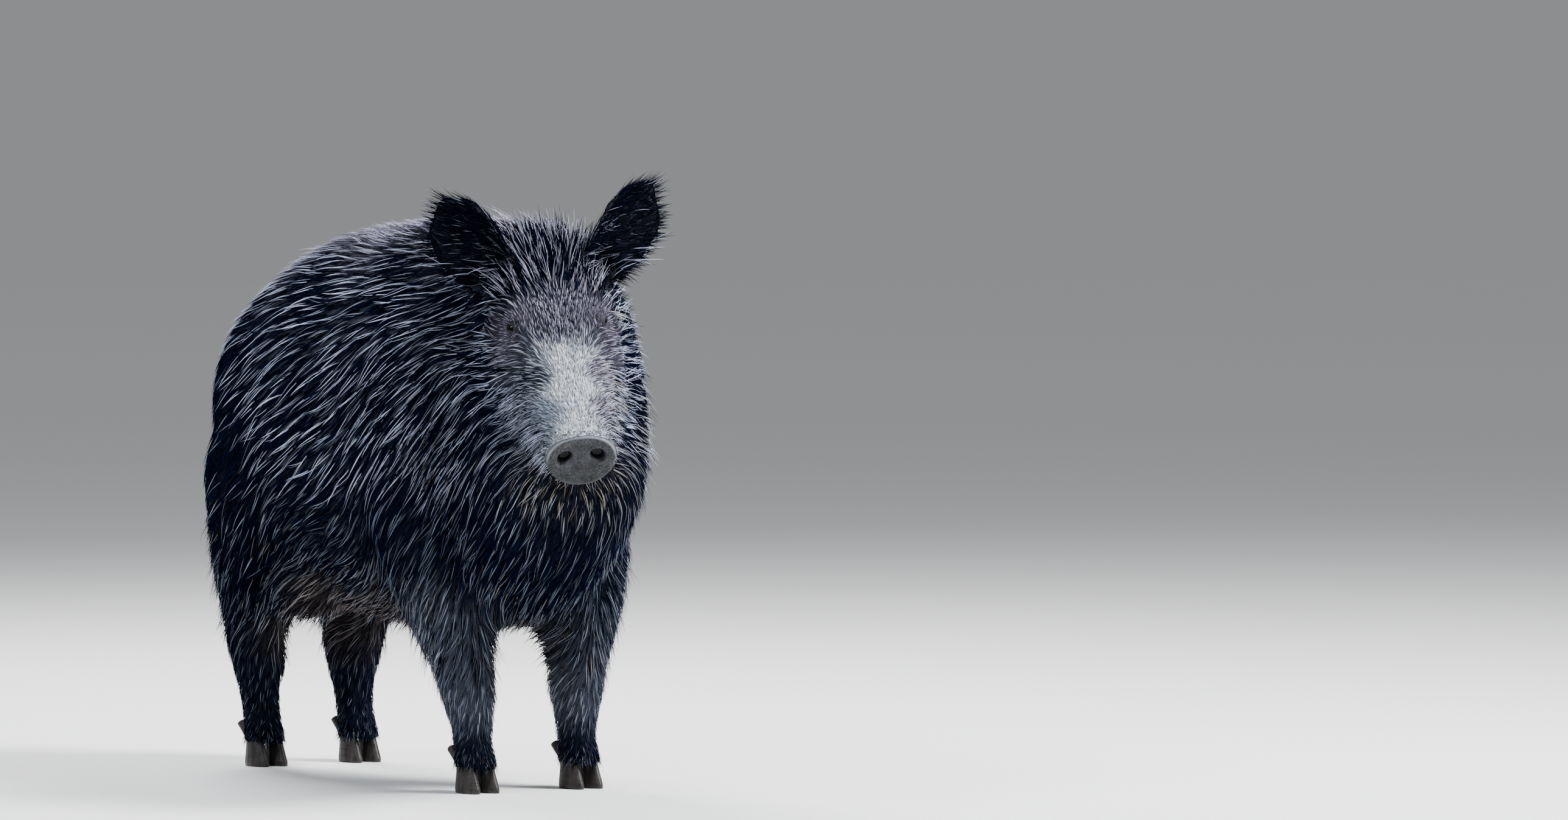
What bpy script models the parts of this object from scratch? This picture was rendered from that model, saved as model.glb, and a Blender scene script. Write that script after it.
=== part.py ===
"""A life-size wild boar standing square, with its head lowered and turned a little to its right.

The body is modelled whole, as one closed surface that reaches out to the tips of the coat, and is
parted into its named pieces by thin cuts. Metres, +Z up. The boar faces -Y, and its right side is -X.
"""
import math

import bmesh
import bpy
from mathutils import Matrix, Vector
from mathutils.bvhtree import BVHTree

GAP = 0.0003  # room left between neighbouring pieces

# The whole animal.
RING = 40  # points round a trunk, neck or head section
LIMB_RING = 20
TAIL_RING = 12
BODY_VOXEL = 0.008
SMOOTHING = 0.6
SMOOTHING_ROUNDS = 14
TORSO_STEPS = 3  # rings to each given section of the trunk and the tail
LIMB_STEPS = 2
BODY_TRIANGLES = 3090

# Trunk and neck in one run, rump first: (across, along, back, level of greatest width, belly,
# half width). The sections stand upright, square to the run.
TORSO = (
    (0.000, 0.500, 0.640, 0.60, 0.560, 0.045),
    (0.000, 0.472, 0.690, 0.59, 0.480, 0.092),
    (0.000, 0.410, 0.742, 0.58, 0.395, 0.138),
    (0.000, 0.325, 0.790, 0.56, 0.306, 0.170),
    (0.000, 0.225, 0.834, 0.55, 0.262, 0.190),
    (0.000, 0.100, 0.862, 0.54, 0.240, 0.202),
    (0.000, -0.060, 0.876, 0.54, 0.230, 0.207),
    (0.000, -0.220, 0.884, 0.55, 0.232, 0.206),
    (-0.010, -0.330, 0.882, 0.56, 0.246, 0.198),
    (-0.027, -0.410, 0.878, 0.54, 0.272, 0.184),
    (-0.047, -0.480, 0.868, 0.52, 0.308, 0.166),
    (-0.070, -0.550, 0.835, 0.51, 0.350, 0.142),
    (-0.094, -0.615, 0.740, 0.50, 0.400, 0.110),
    (-0.116, -0.665, 0.600, 0.52, 0.450, 0.066),
)
TORSO_ROUNDNESS = 2.15

# The head has its own frame: forward along the face, left, and up off the forehead.
POLL = Vector((-0.085, -0.529, 0.850))
HEAD_TURN = math.radians(20)
HEAD_PITCH = math.radians(41.5)
HEAD_ROLL = math.radians(-6.5)

# The skull with its muzzle: (place forward, top, level of greatest width, bottom, half width).
SKULL = (
    (-0.040, -0.030, -0.12, -0.220, 0.090),
    (0.000, 0.012, -0.12, -0.250, 0.104),
    (0.050, 0.016, -0.14, -0.268, 0.112),
    (0.105, 0.010, -0.15, -0.275, 0.117),
    (0.160, 0.000, -0.15, -0.268, 0.116),
    (0.210, -0.012, -0.14, -0.245, 0.107),
    (0.260, -0.021, -0.11, -0.200, 0.090),
    (0.310, -0.026, -0.08, -0.150, 0.073),
    (0.360, -0.027, -0.068, -0.116, 0.061),
    (0.405, -0.024, -0.066, -0.110, 0.055),
    (0.435, -0.024, -0.066, -0.110, 0.054),
)
SKULL_ROUNDNESS = 2.35
JAW = (
    (0.150, -0.150, -0.20, -0.262, 0.088),
    (0.220, -0.112, -0.18, -0.245, 0.082),
    (0.290, -0.108, -0.16, -0.212, 0.068),
    (0.345, -0.108, -0.15, -0.190, 0.055),
    (0.380, -0.110, -0.14, -0.168, 0.040),
)
JAW_ROUNDNESS = 2.2

# Legs, for the right side: (height, place across, place along, half width, half depth).
FRONT_LEG = (
    (0.540, -0.114, -0.230, 0.070, 0.112),
    (0.460, -0.124, -0.248, 0.088, 0.122),
    (0.370, -0.122, -0.270, 0.088, 0.112),
    (0.295, -0.114, -0.290, 0.078, 0.096),
    (0.235, -0.105, -0.306, 0.065, 0.080),
    (0.180, -0.098, -0.320, 0.050, 0.064),
    (0.120, -0.094, -0.329, 0.037, 0.047),
    (0.085, -0.092, -0.331, 0.031, 0.036),
    (0.055, -0.092, -0.338, 0.034, 0.038),
    (0.012, -0.092, -0.350, 0.037, 0.040),
)
REAR_LEG = (
    (0.580, -0.100, 0.280, 0.058, 0.115),
    (0.500, -0.108, 0.284, 0.080, 0.146),
    (0.430, -0.108, 0.292, 0.080, 0.146),
    (0.350, -0.100, 0.306, 0.074, 0.132),
    (0.290, -0.093, 0.324, 0.066, 0.112),
    (0.235, -0.088, 0.342, 0.056, 0.090),
    (0.180, -0.086, 0.350, 0.044, 0.066),
    (0.120, -0.085, 0.348, 0.033, 0.044),
    (0.085, -0.085, 0.342, 0.031, 0.036),
    (0.055, -0.085, 0.334, 0.034, 0.038),
    (0.012, -0.085, 0.322, 0.037, 0.040),
)
LEG_ROUNDNESS = 2.1

# The tail hangs behind the rump: (centre, half width).
TAIL = (
    ((0.000, 0.440, 0.700), 0.026),
    ((0.000, 0.500, 0.690), 0.022),
    ((0.004, 0.540, 0.650), 0.018),
    ((0.008, 0.558, 0.590), 0.015),
    ((0.010, 0.566, 0.520), 0.014),
    ((0.008, 0.570, 0.460), 0.016),
    ((0.006, 0.570, 0.410), 0.013),
)

# Muscle and hair masses laid into the body: (centre, radii, turn about X in degrees), right side.
MASSES = (
    ((-0.108, -0.245, 0.580), (0.106, 0.170, 0.230), 12),
    ((-0.100, 0.250, 0.550), (0.092, 0.165, 0.190), -20),
    ((-0.088, 0.180, 0.305), (0.062, 0.110, 0.076), -12),
)
BROW = ((0.122, 0.048, -0.026), (0.052, 0.036, 0.030))
CHEEK = ((0.120, 0.078, -0.170), (0.090, 0.044, 0.085))
CROWN = ((-0.010, 0.0, -0.045), (0.062, 0.106, 0.066))
THROAT = ((0.270, 0.0, -0.205), (0.110, 0.066, 0.070))

# Ears, in the head's frame, with every place given for the left side. The left one is held
# a little wider than the right one.
EAR_ROOT = Vector((0.045, 0.068, -0.036))
EAR_TIPS = {"right": Vector((-0.038, 0.156, 0.053)), "left": Vector((-0.040, 0.184, 0.046))}
EAR_FACING = Vector((0.85, 0.30, 0.10))  # the way its hollow side looks
EAR_HALF_WIDTH = 0.058
EAR_ROOT_SHARE = 0.76  # its width at the root, as a share of EAR_HALF_WIDTH
EAR_SPREAD = 0.86  # how fast it widens on its way out
EAR_BLUNTNESS = 2.4  # higher makes the tip rounder
EAR_TIP_HALF_WIDTH = 0.004
EAR_THICKNESS = 0.010
EAR_CUP = 0.030  # depth of the hollow at the root
EAR_OPENING = 0.55  # how much flatter it is at the tip
EAR_CURL = 0.014  # how far the tip bends backwards
EAR_POINT = 0.06  # how far its edges fall short of the middle line
EAR_ROWS = 8
EAR_COLUMNS = 6

# Eyes, in the head's frame: the line that an eye looks out along, and how far it shows.
EYE = Vector((0.160, 0.059, -0.036))
EYE_LOOK = Vector((0.45, 0.72, 0.53)).normalized()
EYE_RADIUS = 0.0125
EYE_PROUD = 0.0025
EYE_SEGMENTS = 12
EYE_ROWS = 7
EYE_SEARCH = 0.1  # the skin over an eye is looked for from this far out

# The snout's disc, in the head's frame, and the mouth under it.
DISC = Vector((0.400, 0.0, -0.066))
DISC_HALF_WIDTH = 0.053
DISC_UP = 0.040
DISC_DOWN = 0.044
DISC_THICKNESS = 0.022
DISC_ROUNDNESS = 2.2
DISC_NARROWING = 2.6  # how fast the disc narrows below its middle, per metre
DISC_PROFILE = (  # share of the thickness, and share of the full outline
    (0.35, 1.0),
    (0.75, 0.985),
    (1.0, 0.90),
    (0.90, 0.55),
)
DISC_BACK_SHARE = 0.94  # of the full outline, where the disc meets the muzzle
DISC_POINTS = 24
DISC_LEAN = math.radians(12)  # the disc's face looks this far above the run of the muzzle
NOSTRIL_ASIDE = 0.024
NOSTRIL_ABOVE = 0.006
NOSTRIL_RADII = (0.0100, 0.0078)
NOSTRIL_DEPTH = 0.011
NOSTRIL_SEGMENTS = 12
MOUTH = Vector((0.215, 0.0, -0.122))  # its inner corner
MOUTH_DROP = math.radians(-2.5)
JAW_HALF_WIDTH = 0.074
JAW_DEPTH = 0.125

# Where the body is parted.
HEAD_CUT = Vector((-0.070, -0.480, 0.0))
HEAD_CUT_TURN = math.radians(12)
NECK_CUT = -0.360
BARREL_CUT = -0.080
RUMP_CUT = 0.170
TAIL_CUT = 0.526
LEG_INSIDE = 0.030
FRONT_LEG_SPAN = (-0.420, -0.120)
FRONT_LEG_TOP = 0.345
FRONT_KNEE = 0.190
REAR_LEG_SPAN = (RUMP_CUT, 0.500)
REAR_LEG_TOP = 0.400
REAR_HOCK = 0.222
FETLOCK = 0.095

# Feet.
HOOF_TOP = 0.036
HOOF_HALF_LENGTH = 0.031
HOOF_HALF_WIDTH = 0.0145
HOOF_ASIDE = 0.0168  # each hoof's middle, from the middle of the foot
HOOF_ROWS = (  # height, share of the length, share of the width, how far behind the sole
    (0.0, 1.0, 1.0, 0.0),
    (0.006, 1.02, 1.02, 0.001),
    (HOOF_TOP, 0.80, 0.90, 0.010),
)
HOOF_TOE = 0.28  # how much narrower the toe is than the heel
HOOF_POINTS = 14
FOOT_AHEAD = 0.004
DEWCLAW_LENGTH = 0.030
DEWCLAW_RADIUS = 0.0090
DEWCLAW_TIP_RADIUS = 0.0040
DEWCLAW_TILT = math.radians(142)  # the claw hangs down and backwards
DEWCLAW_POINTS = 10
DEWCLAW_ASIDE = 0.020
DEWCLAW_BEHIND = 0.030
DEWCLAW_HEIGHT = 0.056
SHARP_ANGLE = math.radians(40)
BIG = 2.0  # longer than the animal


def clear_scene():
    for thing in list(bpy.data.objects):
        bpy.data.objects.remove(thing, do_unlink=True)


def collection(name):
    found = bpy.data.collections.new(name)
    bpy.context.scene.collection.children.link(found)
    return found


def finish(name, colour, roughness):
    """A plain Principled finish."""
    made = bpy.data.materials.new(name)
    made.use_nodes = True
    shader = made.node_tree.nodes["Principled BSDF"]
    shader.inputs["Base Color"].default_value = (*colour, 1.0)
    shader.inputs["Roughness"].default_value = roughness
    shader.inputs["Metallic"].default_value = 0.0
    return made


def head_matrix():
    """From the head's frame (forward, left, up) to the model's."""
    turn = Matrix.Rotation(-HEAD_TURN, 4, "Z")
    pitch = Matrix.Rotation(HEAD_PITCH, 4, "X")
    roll = Matrix.Rotation(HEAD_ROLL, 4, "Y")
    axes = Matrix(((0, 1, 0, 0), (-1, 0, 0, 0), (0, 0, 1, 0), (0, 0, 0, 1)))
    return Matrix.Translation(POLL) @ turn @ pitch @ roll @ axes


def oval(count, half_width, up, down, roundness):
    """Points of an oval about its level of greatest width, as (across, above) pairs."""
    points = []
    for step in range(count):
        angle = 2 * math.pi * step / count
        across = math.copysign(abs(math.cos(angle)) ** (2 / roundness), math.cos(angle))
        above = math.copysign(abs(math.sin(angle)) ** (2 / roundness), math.sin(angle))
        points.append((half_width * across, (up if above > 0 else down) * above))
    return points


def smooth_rows(rows, parts):
    """More rows between the given ones, on a Catmull-Rom curve through them."""
    made = []
    last = len(rows) - 1
    for index in range(last):
        before = rows[max(index - 1, 0)]
        start = rows[index]
        end = rows[index + 1]
        after = rows[min(index + 2, last)]
        for part in range(parts):
            t = part / parts
            row = []
            for a, b, c, d in zip(before, start, end, after):
                bend = (2 * a - 5 * b + 4 * c - d) * t * t + (3 * b - a - 3 * c + d) * t**3
                row.append(0.5 * (2 * b + (c - a) * t + bend))
            made.append(row)
    made.append(list(rows[-1]))
    return made


def add_loft(bm, rings):
    """A closed skin through rings of points, each end closed by a fan."""
    rows = [[bm.verts.new(point) for point in ring] for ring in rings]
    count = len(rows[0])
    for lower, upper in zip(rows, rows[1:]):
        for i in range(count):
            j = (i + 1) % count
            bm.faces.new((lower[i], lower[j], upper[j], upper[i]))
    for row in (rows[0], rows[-1]):
        middle = sum((v.co for v in row), Vector()) / count
        hub = bm.verts.new(middle)
        for i in range(count):
            bm.faces.new((row[i], row[(i + 1) % count], hub))


def closed_object(name, bm, group):
    """The finished mesh as an object, with its faces turned outwards."""
    bmesh.ops.recalc_face_normals(bm, faces=bm.faces[:])
    mesh = bpy.data.meshes.new(name)
    bm.to_mesh(mesh)
    bm.free()
    made = bpy.data.objects.new(name, mesh)
    group.objects.link(made)
    return made


def guide(thing):
    """Marks a cutter or a guide."""
    thing.hide_render = True
    thing.display_type = "WIRE"
    return thing


def lofted_guide(name, rings, group):
    bm = bmesh.new()
    add_loft(bm, rings)
    return guide(closed_object(name, bm, group))


def torso_rings():
    rings = []
    rows = smooth_rows(TORSO, TORSO_STEPS)
    for index, (across, along, back, level, belly, half) in enumerate(rows):
        ahead = rows[min(index + 1, len(rows) - 1)]
        behind = rows[max(index - 1, 0)]
        side = Vector((behind[1] - ahead[1], ahead[0] - behind[0], 0)).normalized()
        ring = oval(RING, half, back - level, level - belly, TORSO_ROUNDNESS)
        rings.append([Vector((across, along, level + z)) + side * x for x, z in ring])
    return rings


def run_rings(rows, count, roundness):
    """Rings square to the run of a path whose rows are x, y, z and half width."""
    rings = []
    for index, row in enumerate(rows):
        ahead = Vector(rows[min(index + 1, len(rows) - 1)][:3])
        behind = Vector(rows[max(index - 1, 0)][:3])
        run = (ahead - behind).normalized()
        side = Vector((1, 0, 0))
        above = side.cross(run)
        ring = oval(count, row[3], row[3], row[3], roundness)
        rings.append([Vector(row[:3]) + side * x + above * z for x, z in ring])
    return rings


def head_rings(sections, roundness, frame):
    rings = []
    for forward, top, level, bottom, half in smooth_rows(sections, LIMB_STEPS):
        ring = oval(RING, half, top - level, level - bottom, roundness)
        rings.append([frame @ Vector((forward, x, level + z)) for x, z in ring])
    return rings


def leg_rings(sections, side):
    rings = []
    for height, across, along, half, deep in smooth_rows(sections, LIMB_STEPS):
        ring = oval(LIMB_RING, half, deep, deep, LEG_ROUNDNESS)
        rings.append([Vector((side * -across + x, along + y, height)) for x, y in ring])
    return rings


def ball_guide(name, matrix, group, segments=28):
    """A unit ball shaped and placed by a matrix."""
    bm = bmesh.new()
    rows = segments // 2
    bmesh.ops.create_uvsphere(bm, u_segments=segments, v_segments=rows, radius=1.0, matrix=matrix)
    return guide(closed_object(name, bm, group))


def scaling(radii):
    return Matrix.Diagonal((*radii, 1.0))


def body_sources(frame, group):
    """Every loft and mass that the body is blended from."""
    made = [lofted_guide("torso_form", torso_rings(), group)]
    made.append(lofted_guide("skull_form", head_rings(SKULL, SKULL_ROUNDNESS, frame), group))
    made.append(lofted_guide("jaw_form", head_rings(JAW, JAW_ROUNDNESS, frame), group))
    tail_rows = smooth_rows([(*centre, half) for centre, half in TAIL], TORSO_STEPS)
    made.append(lofted_guide("tail_form", run_rings(tail_rows, TAIL_RING, 2.0), group))
    for name, centre_radii in (("crown_form", CROWN), ("throat_form", THROAT)):
        centre, radii = centre_radii
        made.append(ball_guide(name, frame @ Matrix.Translation(centre) @ scaling(radii), group))
    for side in (-1, 1):
        for sections, name in ((FRONT_LEG, "front_leg_form"), (REAR_LEG, "rear_leg_form")):
            made.append(lofted_guide(name, leg_rings(sections, side), group))
        for centre, radii, turn in MASSES:
            place = Matrix.Translation((-side * centre[0], centre[1], centre[2]))
            matrix = place @ Matrix.Rotation(math.radians(turn), 4, "X") @ scaling(radii)
            made.append(ball_guide("muscle_form", matrix, group))
        for centre, radii in (BROW, CHEEK):
            place = Matrix.Translation((centre[0], side * centre[1], centre[2]))
            made.append(ball_guide("face_form", frame @ place @ scaling(radii), group))
    return made


def evaluated(thing, name):
    """The mesh that a modelled object ends up with."""
    bpy.context.view_layer.update()
    graph = bpy.context.evaluated_depsgraph_get()
    mesh = bpy.data.meshes.new_from_object(thing.evaluated_get(graph))
    mesh.name = name
    return mesh


def joined(sources, name, group):
    """One object holding the meshes of several, each at its place."""
    bm = bmesh.new()
    for source in sources:
        bm.from_mesh(source.data)
        bpy.data.objects.remove(source, do_unlink=True)
    return guide(closed_object(name, bm, group))


def blended_body(frame, group):
    """The lofts and masses melted into one closed skin."""
    whole = joined(body_sources(frame, group), "body_form", group)
    melt = whole.modifiers.new("melt", "REMESH")
    melt.mode = "VOXEL"
    melt.voxel_size = BODY_VOXEL
    soften = whole.modifiers.new("soften", "SMOOTH")
    soften.factor = SMOOTHING
    soften.iterations = SMOOTHING_ROUNDS
    dense = evaluated(whole, "dense body")
    dense.calc_loop_triangles()
    thin = whole.modifiers.new("thin", "DECIMATE")
    thin.ratio = BODY_TRIANGLES / len(dense.loop_triangles)
    thin.use_collapse_triangulate = True
    mesh = evaluated(whole, "body")
    mesh.shade_smooth()
    bpy.data.objects.remove(whole, do_unlink=True)
    return mesh


def block(name, centre, size, group):
    """A box cutter, as long, wide and high as size says."""
    bm = bmesh.new()
    bmesh.ops.create_cube(bm, size=1.0, matrix=scaling(size))
    made = guide(closed_object(name, bm, group))
    made.matrix_world = Matrix.Translation(centre)
    return made


def cut(thing, cutter, operation):
    step = thing.modifiers.new(operation.lower() + " " + cutter.name, "BOOLEAN")
    step.operation = operation
    step.object = cutter
    step.solver = "EXACT"
    return step


def half_space(name, point, normal, group):
    """A block that holds everything on the side of a plane that its normal points to."""
    made = block(name, Vector(), (BIG, BIG, BIG), group)
    turn = normal.normalized().to_track_quat("Z", "Y").to_matrix().to_4x4()
    made.matrix_world = Matrix.Translation(point) @ turn @ Matrix.Translation((0, 0, BIG / 2))
    return made


def span_block(name, low, high, group):
    """A box cutter between two corners."""
    low = Vector(low)
    high = Vector(high)
    return block(name, (low + high) / 2, high - low, group)


class Body:
    """The whole body, from which each named piece is parted."""

    def __init__(self, mesh, hide, parts, guides):
        self.mesh = mesh
        self.mesh.materials.append(hide)
        self.parts = parts
        self.guides = guides

    def piece(self, name, keep, away=()):
        """A piece that keeps what is inside some blocks and loses what is inside others."""
        made = bpy.data.objects.new(name, self.mesh)
        self.parts.objects.link(made)
        for cutter in keep:
            cut(made, cutter, "INTERSECT")
        for cutter in away:
            cut(made, cutter, "DIFFERENCE")
        return made


def slice_blocks(name, start, end, group):
    """A block between two places along Y."""
    return span_block(name, (-BIG, start, -BIG), (BIG, end, BIG), group)


def leg_box(name, side, span, low, high, grow, group):
    inner = LEG_INSIDE - grow
    across = sorted((side * inner, side * BIG))
    return span_block(
        name, (across[0], span[0] - grow, low), (across[1], span[1] + grow, high + grow), group
    )


def make_legs(body):
    """Each leg in three pieces, and the blocks that clear them from the trunk."""
    cleared = []
    kinds = (
        ("front", FRONT_LEG_SPAN, FRONT_LEG_TOP, FRONT_KNEE),
        ("rear", REAR_LEG_SPAN, REAR_LEG_TOP, REAR_HOCK),
    )
    for end, span, top, joint in kinds:
        for side, hand in ((-1, "right"), (1, "left")):
            name = f"{end}_{hand}"
            levels = (
                ("leg_upper", joint + GAP, top),
                ("leg_lower", FETLOCK + GAP, joint),
                ("foot", HOOF_TOP + GAP, FETLOCK),
            )
            for piece, low, high in levels:
                box = leg_box(f"{name}_{piece}_box", side, span, low, high, 0.0, body.guides)
                body.piece(f"{name}_{piece}", [box])
            clear = leg_box(f"{name}_clear", side, span, -BIG, top, GAP, body.guides)
            cleared.append(clear)
    return cleared


def make_torso(body, cleared, neck_side):
    front = slice_blocks("shoulders_slice", NECK_CUT + GAP, BARREL_CUT, body.guides)
    middle = slice_blocks("barrel_slice", BARREL_CUT + GAP, RUMP_CUT, body.guides)
    rear = slice_blocks("rump_slice", RUMP_CUT + GAP, TAIL_CUT, body.guides)
    tail = slice_blocks("tail_slice", TAIL_CUT + GAP, BIG, body.guides)
    neck = slice_blocks("neck_slice", -BIG, NECK_CUT, body.guides)
    body.piece("trunk_shoulders", [front], cleared[:2])
    body.piece("trunk_barrel", [middle])
    body.piece("trunk_rump", [rear], cleared[2:])
    body.piece("tail", [tail])
    body.piece("neck", [neck, neck_side], cleared[:2])


def ear_sheet(side, hand, frame, group):
    """The open leaf of an ear, cupped towards the way it faces."""
    flip = Matrix.Diagonal((1, side, 1, 1))
    root = flip @ EAR_ROOT
    run = flip @ EAR_TIPS[hand] - root
    along = run.normalized()
    facing = flip @ EAR_FACING
    facing = (facing - along * facing.dot(along)).normalized()
    across = along.cross(facing)
    bm = bmesh.new()
    grid = []
    for row in range(EAR_ROWS + 1):
        u = row / EAR_ROWS
        taper = math.sqrt(1 - u**EAR_BLUNTNESS)
        width = EAR_HALF_WIDTH * (EAR_ROOT_SHARE + EAR_SPREAD * u) * taper
        width = max(width, EAR_TIP_HALF_WIDTH)
        cup = EAR_CUP * (1 - EAR_OPENING * u)
        line = []
        for column in range(EAR_COLUMNS + 1):
            v = 2 * column / EAR_COLUMNS - 1
            lift = cup * (v * v - 0.5) - EAR_CURL * u * u
            out = u * (1 - EAR_POINT * v * v)
            point = root + run * out + across * (width * v) + facing * lift
            line.append(bm.verts.new(frame @ point))
        grid.append(line)
    for lower, upper in zip(grid, grid[1:]):
        for i in range(EAR_COLUMNS):
            bm.faces.new((lower[i], lower[i + 1], upper[i + 1], upper[i]))
    made = closed_object(f"ear_{hand}", bm, group)
    made.data.shade_smooth()
    thick = made.modifiers.new("thickness", "SOLIDIFY")
    thick.thickness = EAR_THICKNESS
    thick.offset = 0.0
    return made


def make_ears(body, frame, hide):
    """Both ears, each cut off at the surface of the head with the usual gap."""
    grown = guide(bpy.data.objects.new("body_grown", body.mesh))
    body.guides.objects.link(grown)
    swell = grown.modifiers.new("gap", "DISPLACE")
    swell.strength = GAP
    swell.mid_level = 0.0
    for side, hand in ((-1, "right"), (1, "left")):
        ear = ear_sheet(side, hand, frame, body.parts)
        ear.data.materials.append(hide)
        cut(ear, grown, "DIFFERENCE")


def surface_point(body_mesh, start, towards):
    """Where a line from outside first meets the body."""
    bm = bmesh.new()
    bm.from_mesh(body_mesh)
    tree = BVHTree.FromBMesh(bm)
    bm.free()
    return tree.ray_cast(start, towards)[0]


def make_eyes(body_mesh, frame, parts, guides):
    """Both eyeballs, and the socket that clears each."""
    dark = finish("eye", (0.012, 0.008, 0.006), 0.08)
    sockets = []
    for side, hand in ((-1, "right"), (1, "left")):
        flip = Matrix.Diagonal((1, side, 1, 1))
        look = (frame.to_3x3() @ (flip @ EYE_LOOK)).normalized()
        place = frame @ (flip @ EYE)
        skin = surface_point(body_mesh, place + look * EYE_SEARCH, -look)
        centre = skin - look * (EYE_RADIUS - EYE_PROUD)
        turn = look.to_track_quat("Z", "Y").to_matrix().to_4x4()
        for radius, name, group in (
            (EYE_RADIUS, f"eye_{hand}", parts),
            (EYE_RADIUS + GAP, f"eye_{hand}_socket", guides),
        ):
            bm = bmesh.new()
            bmesh.ops.create_uvsphere(
                bm, u_segments=EYE_SEGMENTS, v_segments=EYE_ROWS, radius=radius
            )
            ball = closed_object(name, bm, group)
            ball.matrix_world = Matrix.Translation(centre) @ turn
            ball.data.shade_smooth()
            if group is guides:
                sockets.append(guide(ball))
            else:
                ball.data.materials.append(dark)
    return sockets


def disc_frame(frame):
    """The disc's own frame: X left, Y up, Z out of its face."""
    lean = Matrix.Rotation(-DISC_LEAN, 4, "Y")
    axes = Matrix(((0, 0, 1, 0), (1, 0, 0, 0), (0, 1, 0, 0), (0, 0, 0, 1)))
    return frame @ Matrix.Translation(DISC) @ lean @ axes


def make_disc(frame, parts, guides):
    """The snout's bare disc with its two nostrils."""
    place = disc_frame(frame)
    full = oval(DISC_POINTS, DISC_HALF_WIDTH, DISC_UP, DISC_DOWN, DISC_ROUNDNESS)
    outline = [Vector((x * (1 - DISC_NARROWING * max(-y, 0)), y, 0)) for x, y in full]
    layers = [(GAP, DISC_BACK_SHARE)]
    layers += [(height * DISC_THICKNESS, share) for height, share in DISC_PROFILE]
    rings = []
    for height, share in layers:
        rings.append([place @ (point * share + Vector((0, 0, height))) for point in outline])
    bm = bmesh.new()
    add_loft(bm, rings)
    disc = closed_object("snout_disc", bm, parts)
    disc.data.shade_smooth()
    disc.data.materials.append(finish("bare snout", (0.05, 0.045, 0.045), 0.4))
    for side, hand in ((-1, "right"), (1, "left")):
        centre = Vector((side * NOSTRIL_ASIDE, NOSTRIL_ABOVE, DISC_THICKNESS))
        radii = (*NOSTRIL_RADII, NOSTRIL_DEPTH)
        hole = ball_guide(
            f"nostril_{hand}",
            place @ Matrix.Translation(centre) @ scaling(radii),
            guides,
            NOSTRIL_SEGMENTS,
        )
        cut(disc, hole, "DIFFERENCE")
    return half_space("muzzle_end", place @ Vector(), place.to_3x3() @ Vector((0, 0, 1)), guides)


def make_head(body, frame, head_side, sockets, muzzle_end):
    lean = Matrix.Rotation(MOUTH_DROP, 4, "Y")
    for name, grow in (("jaw_block", 0.0), ("jaw_clear", GAP)):
        low = Vector((-grow, -JAW_HALF_WIDTH - grow, -JAW_DEPTH - grow))
        high = Vector((BIG, JAW_HALF_WIDTH + grow, grow))
        jaw = block(name, Vector(), high - low, body.guides)
        middle = Matrix.Translation((low + high) / 2)
        jaw.matrix_world = frame @ Matrix.Translation(MOUTH) @ lean @ middle
    head = body.piece("head", [head_side], [bpy.data.objects["jaw_clear"], muzzle_end])
    for socket in sockets:
        cut(head, socket, "DIFFERENCE")
    body.piece("lower_jaw", [head_side, bpy.data.objects["jaw_block"]], [muzzle_end])


def make_hoof(name, centre, parts, horn):
    """One half of a cloven foot: a blunt wedge with a flat sole and a flat top."""
    bm = bmesh.new()
    rings = []
    for height, long, wide, back in HOOF_ROWS:
        ring = []
        for step in range(HOOF_POINTS):
            angle = 2 * math.pi * step / HOOF_POINTS
            along = back - math.cos(angle) * HOOF_HALF_LENGTH * long
            narrow = 1 - HOOF_TOE * max(math.cos(angle), 0) ** 2
            aside = math.sin(angle) * HOOF_HALF_WIDTH * wide * narrow
            ring.append(Vector((centre[0] + aside, centre[1] + along, height)))
        rings.append(ring)
    add_loft(bm, rings)
    made = closed_object(name, bm, parts)
    made.data.shade_smooth()
    made.data.set_sharp_from_angle(angle=SHARP_ANGLE)
    made.data.materials.append(horn)


def make_dewclaw(name, place, group, material, grow=0.0):
    bm = bmesh.new()
    bmesh.ops.create_cone(
        bm,
        cap_ends=True,
        segments=DEWCLAW_POINTS,
        radius1=DEWCLAW_RADIUS + grow,
        radius2=DEWCLAW_TIP_RADIUS + grow,
        depth=DEWCLAW_LENGTH + 2 * grow,
    )
    made = closed_object(name, bm, group)
    made.matrix_world = place
    if material:
        made.data.materials.append(material)
    return made


def make_feet(parts, guides):
    """Hooves and dewclaws, the dewclaws let into pockets at the back of each foot."""
    horn = finish("horn", (0.05, 0.042, 0.036), 0.45)
    for end, sections in (("front", FRONT_LEG), ("rear", REAR_LEG)):
        middle = smooth_rows(sections, LIMB_STEPS)[-2]
        for side, hand in ((-1, "right"), (1, "left")):
            foot = bpy.data.objects[f"{end}_{hand}_foot"]
            for aside, place in ((-1, "outer"), (1, "inner")):
                across = side * (-middle[1] - aside * HOOF_ASIDE)
                centre = (across, middle[2] - FOOT_AHEAD)
                make_hoof(f"{end}_{hand}_hoof_{place}", centre, parts, horn)
                across = side * (-middle[1] - aside * DEWCLAW_ASIDE)
                spot = Vector((across, middle[2] + DEWCLAW_BEHIND, DEWCLAW_HEIGHT))
                matrix = Matrix.Translation(spot) @ Matrix.Rotation(DEWCLAW_TILT, 4, "X")
                name = f"{end}_{hand}_dewclaw_{place}"
                make_dewclaw(name, matrix, parts, horn)
                pocket = guide(make_dewclaw(f"{name}_pocket", matrix, guides, None, GAP))
                cut(foot, pocket, "DIFFERENCE")


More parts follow.
